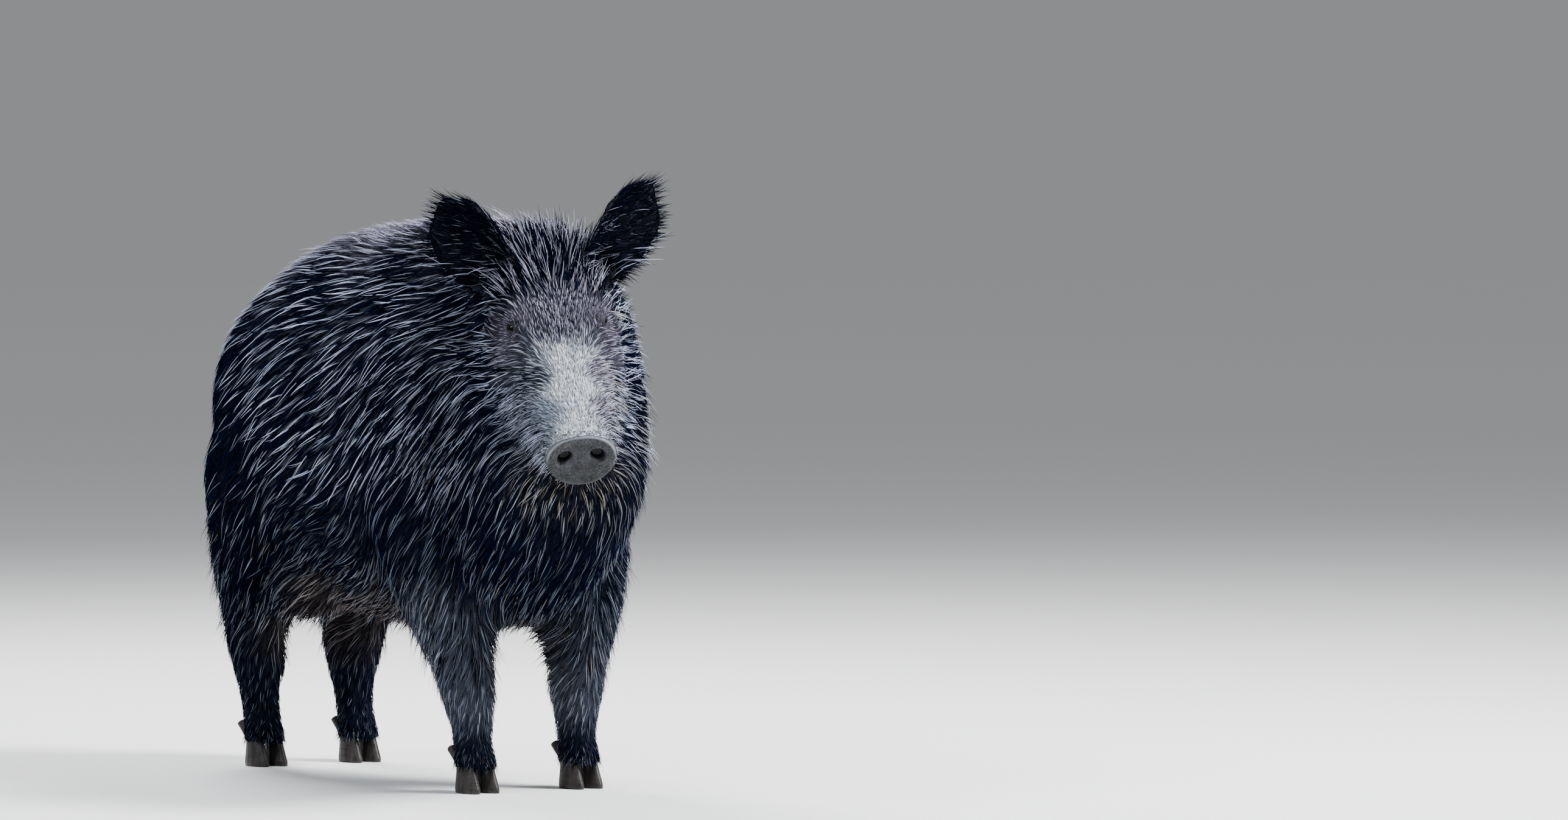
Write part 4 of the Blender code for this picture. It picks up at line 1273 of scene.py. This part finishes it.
def tail_tassel(ground):
    """Long hair at the end of the tail."""
    mask = is_flesh(ground.labels, "tail") & (ground.points[:, 2] < TAIL_HAIR_TOP)
    roots = strewn(ground, mask, TASSEL)
    long = TASSEL.length + 0.040 * np.clip((TAIL_HAIR_TOP - roots.spot[:, 2]) / 0.08, 0, 1)
    return [standing_locks(roots, (0, 0.10, -1.0) + 0.22 * roots.up, TASSEL._replace(length=long))]


def fetlocks(ground):
    """Short hair that hangs over the tops of the hooves."""
    mask = is_flesh(ground.labels, "_foot") & (ground.points[:, 2] < HOOF_HAIR_TOP)
    roots = strewn(ground, mask, FETLOCKS)
    out = roots.up * (1, 1, 0)
    roots = roots._replace(spot=roots.spot + 0.001 * out)
    return [standing_locks(roots, 0.35 * out + (0, 0, -1.0), FETLOCKS)]


def whiskers(ground):
    """Sparse stiff bristles on the lips and the chin."""
    forward, _, above = to_head(ground.points).T
    lips = between(forward, 0.27, 0.41) & between(above, -0.15, -0.05)
    chin = between(forward, 0.20, 0.38) & between(above, -0.24, CHIN_TOP)
    mask = (lips | chin) & ~behind_disc(ground.points, DISC_HIDES_WHISKERS)
    roots = strewn(ground, mask, WHISKERS)
    on_chin = to_head(roots.spot)[:, 2] < CHIN_TOP
    sprung = 0.8 * roots.up + 0.7 * roots.lie
    hanging = 0.4 * roots.up + roots.lie + HEAD_TURN @ (0.2, 0, -0.6)
    long = np.where(on_chin, CHIN_WHISKER, WHISKERS.length)
    way = np.where(on_chin[:, None], hanging, sprung)
    return [standing_locks(roots, way, WHISKERS._replace(length=long))]


def lashes(ground):
    """Lashes over both eyes, and a few long pale strands behind the left one."""
    layers = []
    both = strewn(ground, near_eyes(ground.points, EYE_HAIR_RADIUS) > 0.30, LASHES)
    for eye in EYES.values():
        run = both.spot - eye.centre
        flat = run - np.outer(run @ eye.look, eye.look)
        far = np.linalg.norm(flat, axis=1)
        mine = between(far, 0.0105, 0.019) & (flat @ eye.brow > 0.004) & (run @ eye.look > 0)
        way = 0.9 * eye.look + 0.25 * unit(flat[mine]) - 0.35 * eye.brow
        layers.append(standing_locks(some_of(both, mine), way, LASHES))
    forward, aside, above = to_head(ground.points).T
    behind = (np.abs(forward - 0.125) < 0.018) & (np.abs(aside - 0.092) < 0.02) & (above > -0.06)
    way = HEAD_TURN @ (-0.35, 0.85, -0.30)
    layers.append(standing_locks(strewn(ground, behind, EYE_STRANDS), way, EYE_STRANDS))
    return layers


def finish_piece(name, layers):
    """One object from several sets of locks, with its patches, attributes and material."""
    start = np.cumsum([0] + [len(made["vertices"]) for made in layers])
    for made, first in zip(layers, start):
        made["faces"] = made["faces"] + first
    whole = {key: np.concatenate([made[key] for made in layers]) for key in layers[0]}
    piece = new_object(name, whole["vertices"], whole["faces"])
    mesh = piece.data
    mesh.shade_smooth()
    corner = read(mesh.loops, "vertex_index", 1, np.int32)[:, 0]
    layer = mesh.uv_layers.new(name="OFBake")
    layer.data.foreach_set("uv", whole["map"][corner].astype(np.float32).ravel())
    add_value(mesh, "along", whole["along"])
    add_tint(mesh, "tint", whole["tint"])
    add_tint(mesh, "shade", whole["shade"])
    mesh.materials.append(BRISTLE)
    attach(piece, "root")
    print(f"{name}: {len(whole['faces'])} triangles")
    return len(whole["faces"])


def add_value(mesh, name, values):
    layer = mesh.attributes.new(name, "FLOAT", "POINT")
    layer.data.foreach_set("value", values.astype(np.float32))


def add_tint(mesh, name, values):
    layer = mesh.attributes.new(name, "FLOAT_COLOR", "POINT")
    rows = np.concatenate((values, np.ones((len(values), 1))), 1)
    layer.data.foreach_set("color", rows.astype(np.float32).ravel())


# ---- finishes


class Finish:
    """A Principled material whose nodes are joined by short calls."""

    def __init__(self, name, roughness, specular=0.5):
        self.material = bpy.data.materials.new(name)
        self.material.use_nodes = True
        self.tree = self.material.node_tree
        self.shader = self.tree.nodes["Principled BSDF"].inputs
        self.feed(self.shader["Roughness"], roughness)
        self.feed(self.shader["Specular IOR Level"], specular)
        self.place = self.node("ShaderNodeTexCoord").outputs["Object"]

    def feed(self, socket, source):
        """Joins an output to a socket, or sets the socket to a constant."""
        if isinstance(source, bpy.types.NodeSocket):
            self.tree.links.new(source, socket)
        elif socket.type == "RGBA":
            socket.default_value = (*source, 1.0)
        else:
            socket.default_value = source

    def node(self, kind, sockets=(), **settings):
        """A new node, with its settings and with pairs of an input socket and its source."""
        made = self.tree.nodes.new(kind)
        for name, value in settings.items():
            setattr(made, name, value)
        for name, source in sockets:
            self.feed(made.inputs[name], source)
        return made

    def value(self, name):
        return self.node("ShaderNodeAttribute", attribute_name=name).outputs["Fac"]

    def tint(self, name):
        return self.node("ShaderNodeAttribute", attribute_name=name).outputs["Color"]

    def stretched(self, scale):
        sockets = (("Vector", self.place), ("Scale", scale))
        return self.node("ShaderNodeMapping", sockets).outputs["Vector"]

    def noise(self, scale, detail=3.0, roughness=0.5, stretch=(1, 1, 1)):
        place = self.stretched(stretch)
        sockets = (("Vector", place), ("Scale", scale), ("Detail", detail), ("Roughness", roughness))
        return self.node("ShaderNodeTexNoise", sockets).outputs["Fac"]

    def near_middle(self, reach):
        """One in the middle of the piece, falling to nothing at a distance from it."""
        sockets = [("Vector", self.stretched((1 / reach,) * 3))]
        return self.node("ShaderNodeTexGradient", sockets, gradient_type="SPHERICAL").outputs["Fac"]

    def ramp(self, source, *stops):
        made = self.node("ShaderNodeValToRGB", [("Fac", source)])
        row = made.color_ramp.elements
        row[0].position = stops[0][0]
        row[1].position = stops[-1][0]
        for spot, _ in stops[1:-1]:
            row.new(spot)
        for element, (_, value) in zip(sorted(row, key=lambda e: e.position), stops):
            element.color = (*value, 1.0) if isinstance(value, tuple) else (value,) * 3 + (1.0,)
        return made.outputs["Color"]

    def mix(self, share, first, second, blend="MIX"):
        sockets = ((0, share), (6, first), (7, second))
        return self.node("ShaderNodeMix", sockets, data_type="RGBA", blend_type=blend).outputs[2]

    def bump(self, height, strength, distance):
        sockets = (("Height", height), ("Strength", strength), ("Distance", distance))
        return self.node("ShaderNodeBump", sockets).outputs["Normal"]

    def done(self, colour, normal=None):
        """The material, with its colour and its bumps."""
        self.feed(self.shader["Base Color"], colour)
        if normal:
            self.feed(self.shader["Normal"], normal)
        return self.material


def bristle_finish():
    """Hair that is dark at the root and takes its own tint further out."""
    # The hair has no specular reflection: the pale tints of its streaks carry painted sheen as well
    # as the hair's own pale tips.
    hair = Finish("bristle", 0.5, 0.0)
    outer = hair.ramp(
        hair.value("along"), (0.0, 0.0), (0.2, 0.45), (0.5, 1.0), (0.85, 0.9), (1.0, 0.5)
    )
    colour = hair.mix(outer, hair.tint("shade"), hair.tint("tint"))
    mottle = hair.ramp(hair.noise(60.0), (0.3, 0.72), (0.7, 1.0))
    return hair.done(hair.mix(1.0, colour, mottle, "MULTIPLY"))


def skin_finish():
    """The hide under the coat, as dark as the hair over it, with the markings showing through."""
    hide = Finish("hide", 0.62, 0.06)
    mottle = hide.ramp(hide.noise(90.0, 4.0), (0.3, 0.6), (0.7, 1.0))
    colour = hide.mix(1.0, hide.tint("tint"), mottle, "MULTIPLY")
    return hide.done(colour, hide.bump(hide.noise(900.0), 0.5, 0.0006))


HIDE_PALE_POWER = 1.9  # how much more of the hide than of the coat is dark
HIDE_TINT_SHARE = 0.7


def paint_skin(mesh):
    """Gives the hide the tones of the coat over it, and the lids their own."""
    points = coordinates(mesh)
    grown = blend_places(points)
    share = (grown["pale"] ** HIDE_PALE_POWER)[:, None]
    tone = grown["shade"] * (1 - share) + HIDE_TINT_SHARE * grown["tint"] * share
    bare = np.clip(1.6 * near_eyes(points, LID_RADIUS), 0, 1)[:, None]
    add_tint(mesh, "tint", tone * (1 - bare) + np.array(LID_TONE) * bare)
    mesh.materials.append(skin_finish())


# ---- eyes, disc and horn


def finished(piece, nodes):
    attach(piece, "root")
    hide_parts(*nodes)


def sphere(name, segments, rings, radius):
    """A smooth sphere, to be shaped."""
    select()
    bpy.ops.mesh.primitive_uv_sphere_add(segments=segments, ring_count=rings, radius=radius)
    made = bpy.context.object
    made.name = name
    made.data.shade_smooth()
    return made


CORNEA_STARTS = 0.78  # the share of the eyeball's radius towards its front
CORNEA_RISE = 0.0007


def make_eyes():
    """Wet dark eyeballs, each looking along its own line."""
    paint = Finish("eye", 0.05, 0.16)
    colour = paint.ramp(
        paint.value("gaze"),
        (0.0, (0.012, 0.009, 0.008)),
        (0.60, (0.007, 0.005, 0.004)),
        (0.80, (0.006, 0.004, 0.003)),
        (0.90, (0.004, 0.003, 0.002)),
        (0.94, (0.001, 0.001, 0.001)),
    )
    material = paint.done(colour)
    for hand, (centre, inner, _, look) in EYES.items():
        eye = sphere(f"eyeball_{hand}", 48, 32, EYE_RADIUS)
        points = coordinates(eye.data)
        gaze = points[:, 2] / EYE_RADIUS
        cornea = np.clip((gaze - CORNEA_STARTS) / (1 - CORNEA_STARTS), 0, 1)
        points[:, 2] += CORNEA_RISE * cornea
        turn = np.stack((inner, np.cross(look, inner), look), 1)
        set_coordinates(eye.data, points @ turn.T + centre)
        add_value(eye.data, "gaze", np.clip(gaze, 0, 1))
        eye.data.materials.append(material)
        finished(eye, [f"eye_{hand}"])


DISC_SECTION = (  # share of the outline, and height above the disc's back
    (0.00, 0.0196),
    (0.30, 0.0200),
    (0.55, 0.0210),
    (0.74, 0.0221),
    (0.86, 0.0230),
    (0.93, 0.0231),
    (0.97, 0.0222),
    (0.995, 0.0200),
    (1.00, 0.0160),
    (0.985, 0.0100),
    (0.965, 0.0030),
    (0.93, -0.0060),
    (0.60, -0.0120),
    (0.00, -0.0120),
)
DISC_FRONT_STEPS = 8  # the rows of the section from the middle to the rim
DISC_SIZE_MEAN = 0.05  # turns a share of the outline into a length
NOSTRIL = (0.0245, 0.0055)
NOSTRIL_SIZE = (0.0115, 0.0108)
NOSTRIL_DEPTH = 0.012
NOSTRIL_LIP = 0.0008
DISC_RIDGE = 0.0010
DISC_GROOVE = 0.0012


def make_disc():
    """The bare disc of the snout, dished, with a rolled rim and two deep nostrils."""
    disc = sphere("snout", 144, 110, 1)
    mesh = disc.data
    points = coordinates(mesh)
    step = np.arccos(np.clip(points[:, 2], -1, 1)) / math.pi
    section = np.array(DISC_SECTION)
    run = np.linalg.norm(np.diff(section, axis=0) * (DISC_SIZE_MEAN, 1), axis=1)
    place = np.concatenate(([0], np.cumsum(run)))
    place = place / place[-1]
    share, height = (np.interp(step, place, section[:, i]) for i in (0, 1))
    x, y = disc_outline(np.arctan2(points[:, 1], points[:, 0]))
    x, y = x * share, y * share
    front = step < place[DISC_FRONT_STEPS]
    rise = np.zeros(len(points))
    glint = np.zeros(len(points))
    for side in (1, -1):
        off_x = (x - side * NOSTRIL[0]) * side
        off_y = y - NOSTRIL[1] + 0.10 * off_x
        off = np.hypot(off_x / NOSTRIL_SIZE[0], off_y / NOSTRIL_SIZE[1])
        rise -= NOSTRIL_DEPTH * eased(np.clip((1.12 - off) / 0.55, 0, 1))
        rise += NOSTRIL_LIP * bell(off, 1.28, 0.20)
        # Painted highlights on the lower edges of the nostrils.
        glint += bell(off, 0.95, 0.14) * bell(off_x, -0.004, 0.006) * (off_y < 0)
    rise += DISC_RIDGE * bell(y, -0.020, 0.006) * bell(x, 0, 0.020)
    rise -= DISC_GROOVE * bell(x, 0, 0.0035) * bell(y, -0.030, 0.014)
    made = np.stack((x, y, height + rise * front), 1) @ disc_axes().T
    set_coordinates(mesh, from_head(DISC_BACK) + made)
    # The rim's own pale tone, with a painted highlight that strengthens along its upper edge.
    add_value(mesh, "rim", bell(share, 0.965, 0.030) * front * np.clip(y / 0.02 + 0.2, 0, 1))
    add_value(mesh, "glint", glint * front)
    # Painted shade: the nostrils and the groove darken with their depth.
    add_value(mesh, "hollow_shade", np.clip(-1.8 * rise / NOSTRIL_DEPTH, 0, 1))
    mesh.materials.append(disc_finish())
    finished(disc, ["snout_disc"])


def disc_finish():
    """Bare grey hide with a fine grain, a pale rim with a painted highlight along its top, painted
    glints, and nostrils painted dark as shade.
    """
    paint = Finish("bare_snout", 0.45, 0.2)
    grain = paint.noise(420.0)
    tone = paint.ramp(grain, (0.32, (0.006, 0.007, 0.008)), (0.70, (0.066, 0.070, 0.080)))
    patchy = paint.ramp(paint.noise(55.0, 2.0), (0.36, 0.40), (0.64, 1.0))
    colour = paint.mix(1.0, tone, patchy, "MULTIPLY")
    for name, over in (
        # the rim's pale tone, partly a painted highlight
        ("rim", (0.22, 0.24, 0.27)),
        # painted highlights
        ("glint", (0.20, 0.21, 0.23)),
        # painted shade in the hollows
        ("hollow_shade", (0.004, 0.004, 0.005)),
    ):
        colour = paint.mix(paint.value(name), colour, over)
    return paint.done(colour, paint.bump(grain, 0.7, 0.0008))


HORN_VOXEL = 0.0017
HORN_RAISE = 0.009  # how far a hoof runs up inside the foot
HORN_TOP = 0.002  # the height of what is raised
HORN_TOP_SIZE = 0.80


def make_horn():
    """Hooves and dewclaws: smooth cloven horn with growth rings."""
    paint = Finish("horn", 0.42, 0.2)
    streaks = paint.noise(160.0, 3.0, 0.6, (1, 1, 0.12))
    colour = paint.ramp(streaks, (0.3, (0.014, 0.013, 0.013)), (0.7, (0.050, 0.044, 0.040)))
    rings = paint.noise(60.0, 2.0, 0.5, (0.2, 0.2, 6.0))
    material = paint.done(colour, paint.bump(rings, 0.5, 0.0012))
    for node in sorted(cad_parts):
        if "hoof" not in node and "dewclaw" not in node:
            continue
        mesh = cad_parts[node].data.copy()
        horn = placed(node.replace("hoof", "horn") + "_horn", mesh)
        work = bmesh.new()
        work.from_mesh(mesh)
        weld(work, mesh, 1e-5)
        if "hoof" in node:
            points = coordinates(mesh)
            core = points.mean(0)
            upper = points[:, 2] > points[:, 2].max() - HORN_TOP
            points[upper, 2] += HORN_RAISE
            points[upper, :2] = core[:2] + (points[upper, :2] - core[:2]) * HORN_TOP_SIZE
            set_coordinates(mesh, points)
        melt(horn, HORN_VOXEL)
        points = coordinates(mesh)
        sole = points[:, 2] < points[:, 2].min() + 0.4 * HORN_VOXEL
        points = Neighbours(mesh).smoothed(points, 10)
        if "hoof" in node:
            points[sole, 2] = 0.0
            points[:, 2] = np.maximum(points[:, 2], 0.0)
        set_coordinates(mesh, points)
        mesh.shade_smooth()
        mesh.materials.clear()
        mesh.materials.append(material)
        finished(horn, [node])


# ---- stage


def aim(thing, target):
    run = Vector(target) - thing.location
    thing.rotation_euler = run.to_track_quat("-Z", "Y").to_euler()


def bearing(azimuth, elevation):
    """The way to a place at some angles, as seen from the sight."""
    turn, rise = math.radians(azimuth), math.radians(elevation)
    level = math.cos(rise)
    return Vector((math.sin(turn) * level, -math.cos(turn) * level, math.sin(rise)))


def make_camera():
    """The camera, whose sight lies to the left of the frame's middle."""
    turn = math.radians(CAMERA_AZIMUTH)
    back = bearing(CAMERA_AZIMUTH, CAMERA_ELEVATION)
    right = Vector((math.cos(turn), math.sin(turn), 0.0))
    lens = bpy.data.cameras.new("camera")
    lens.lens = CAMERA_LENS
    lens.clip_end = 200.0
    camera = placed("camera", lens)
    camera.location = CAMERA_SIGHT + back * CAMERA_DISTANCE
    aim(camera, CAMERA_SIGHT + right * CAMERA_PAN + back.cross(right) * CAMERA_RISE)
    bpy.context.scene.camera = camera


def make_lights():
    """Three soft lights and an even pale world."""
    for name, (azimuth, elevation, distance, size, power, colour) in LIGHTS.items():
        light = bpy.data.lights.new(name, "AREA")
        light.size = size
        light.energy = power
        light.color = colour
        made = placed(name, light)
        made.location = CAMERA_SIGHT + bearing(azimuth, elevation) * distance
        aim(made, CAMERA_SIGHT)
    world = bpy.data.worlds.new("studio")
    world.use_nodes = True
    background = world.node_tree.nodes["Background"].inputs
    background["Color"].default_value = WORLD_TONE
    background["Strength"].default_value = WORLD_STRENGTH
    bpy.context.scene.world = world


def make_floor():
    """A plain pale floor without a horizon."""
    select()
    bpy.ops.mesh.primitive_plane_add(size=FLOOR_SIZE, location=(0, 0, 0))
    floor = bpy.context.object
    floor.name = "floor"
    paint = Finish("floor", 0.85)
    tone = paint.ramp(paint.near_middle(FLOOR_FADE), (0.0, FLOOR_FAR_TONE), (0.75, FLOOR_TONE))
    floor.data.materials.append(paint.done(tone))


# ---- the whole animal

make_camera()
make_lights()
make_floor()

skin, coat, labels = make_skin()
lie = combed(skin.data, coat, labels)
leave_bare(coat, coordinates(skin.data))
ground = Ground(skin.data, coat, labels, lie)
add_lids(skin)
paint_skin(skin.data)
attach(skin, "root")
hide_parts(*FLESH)
print("skin:", len(skin.data.vertices), "vertices")

make_eyes()
make_disc()
make_horn()

BRISTLE = bristle_finish()
names = patches(ground)
total = 0
for name in sorted(set(names)):
    total += finish_piece(name, coat_layers(ground, np.flatnonzero(names == name)))
for extra in (ear_fringe, crest, ruff, muzzle_sweep, shag, tail_tassel, fetlocks, whiskers, lashes):
    total += finish_piece(f"coat_{extra.__name__}", extra(ground))
print("coat:", total, "triangles")
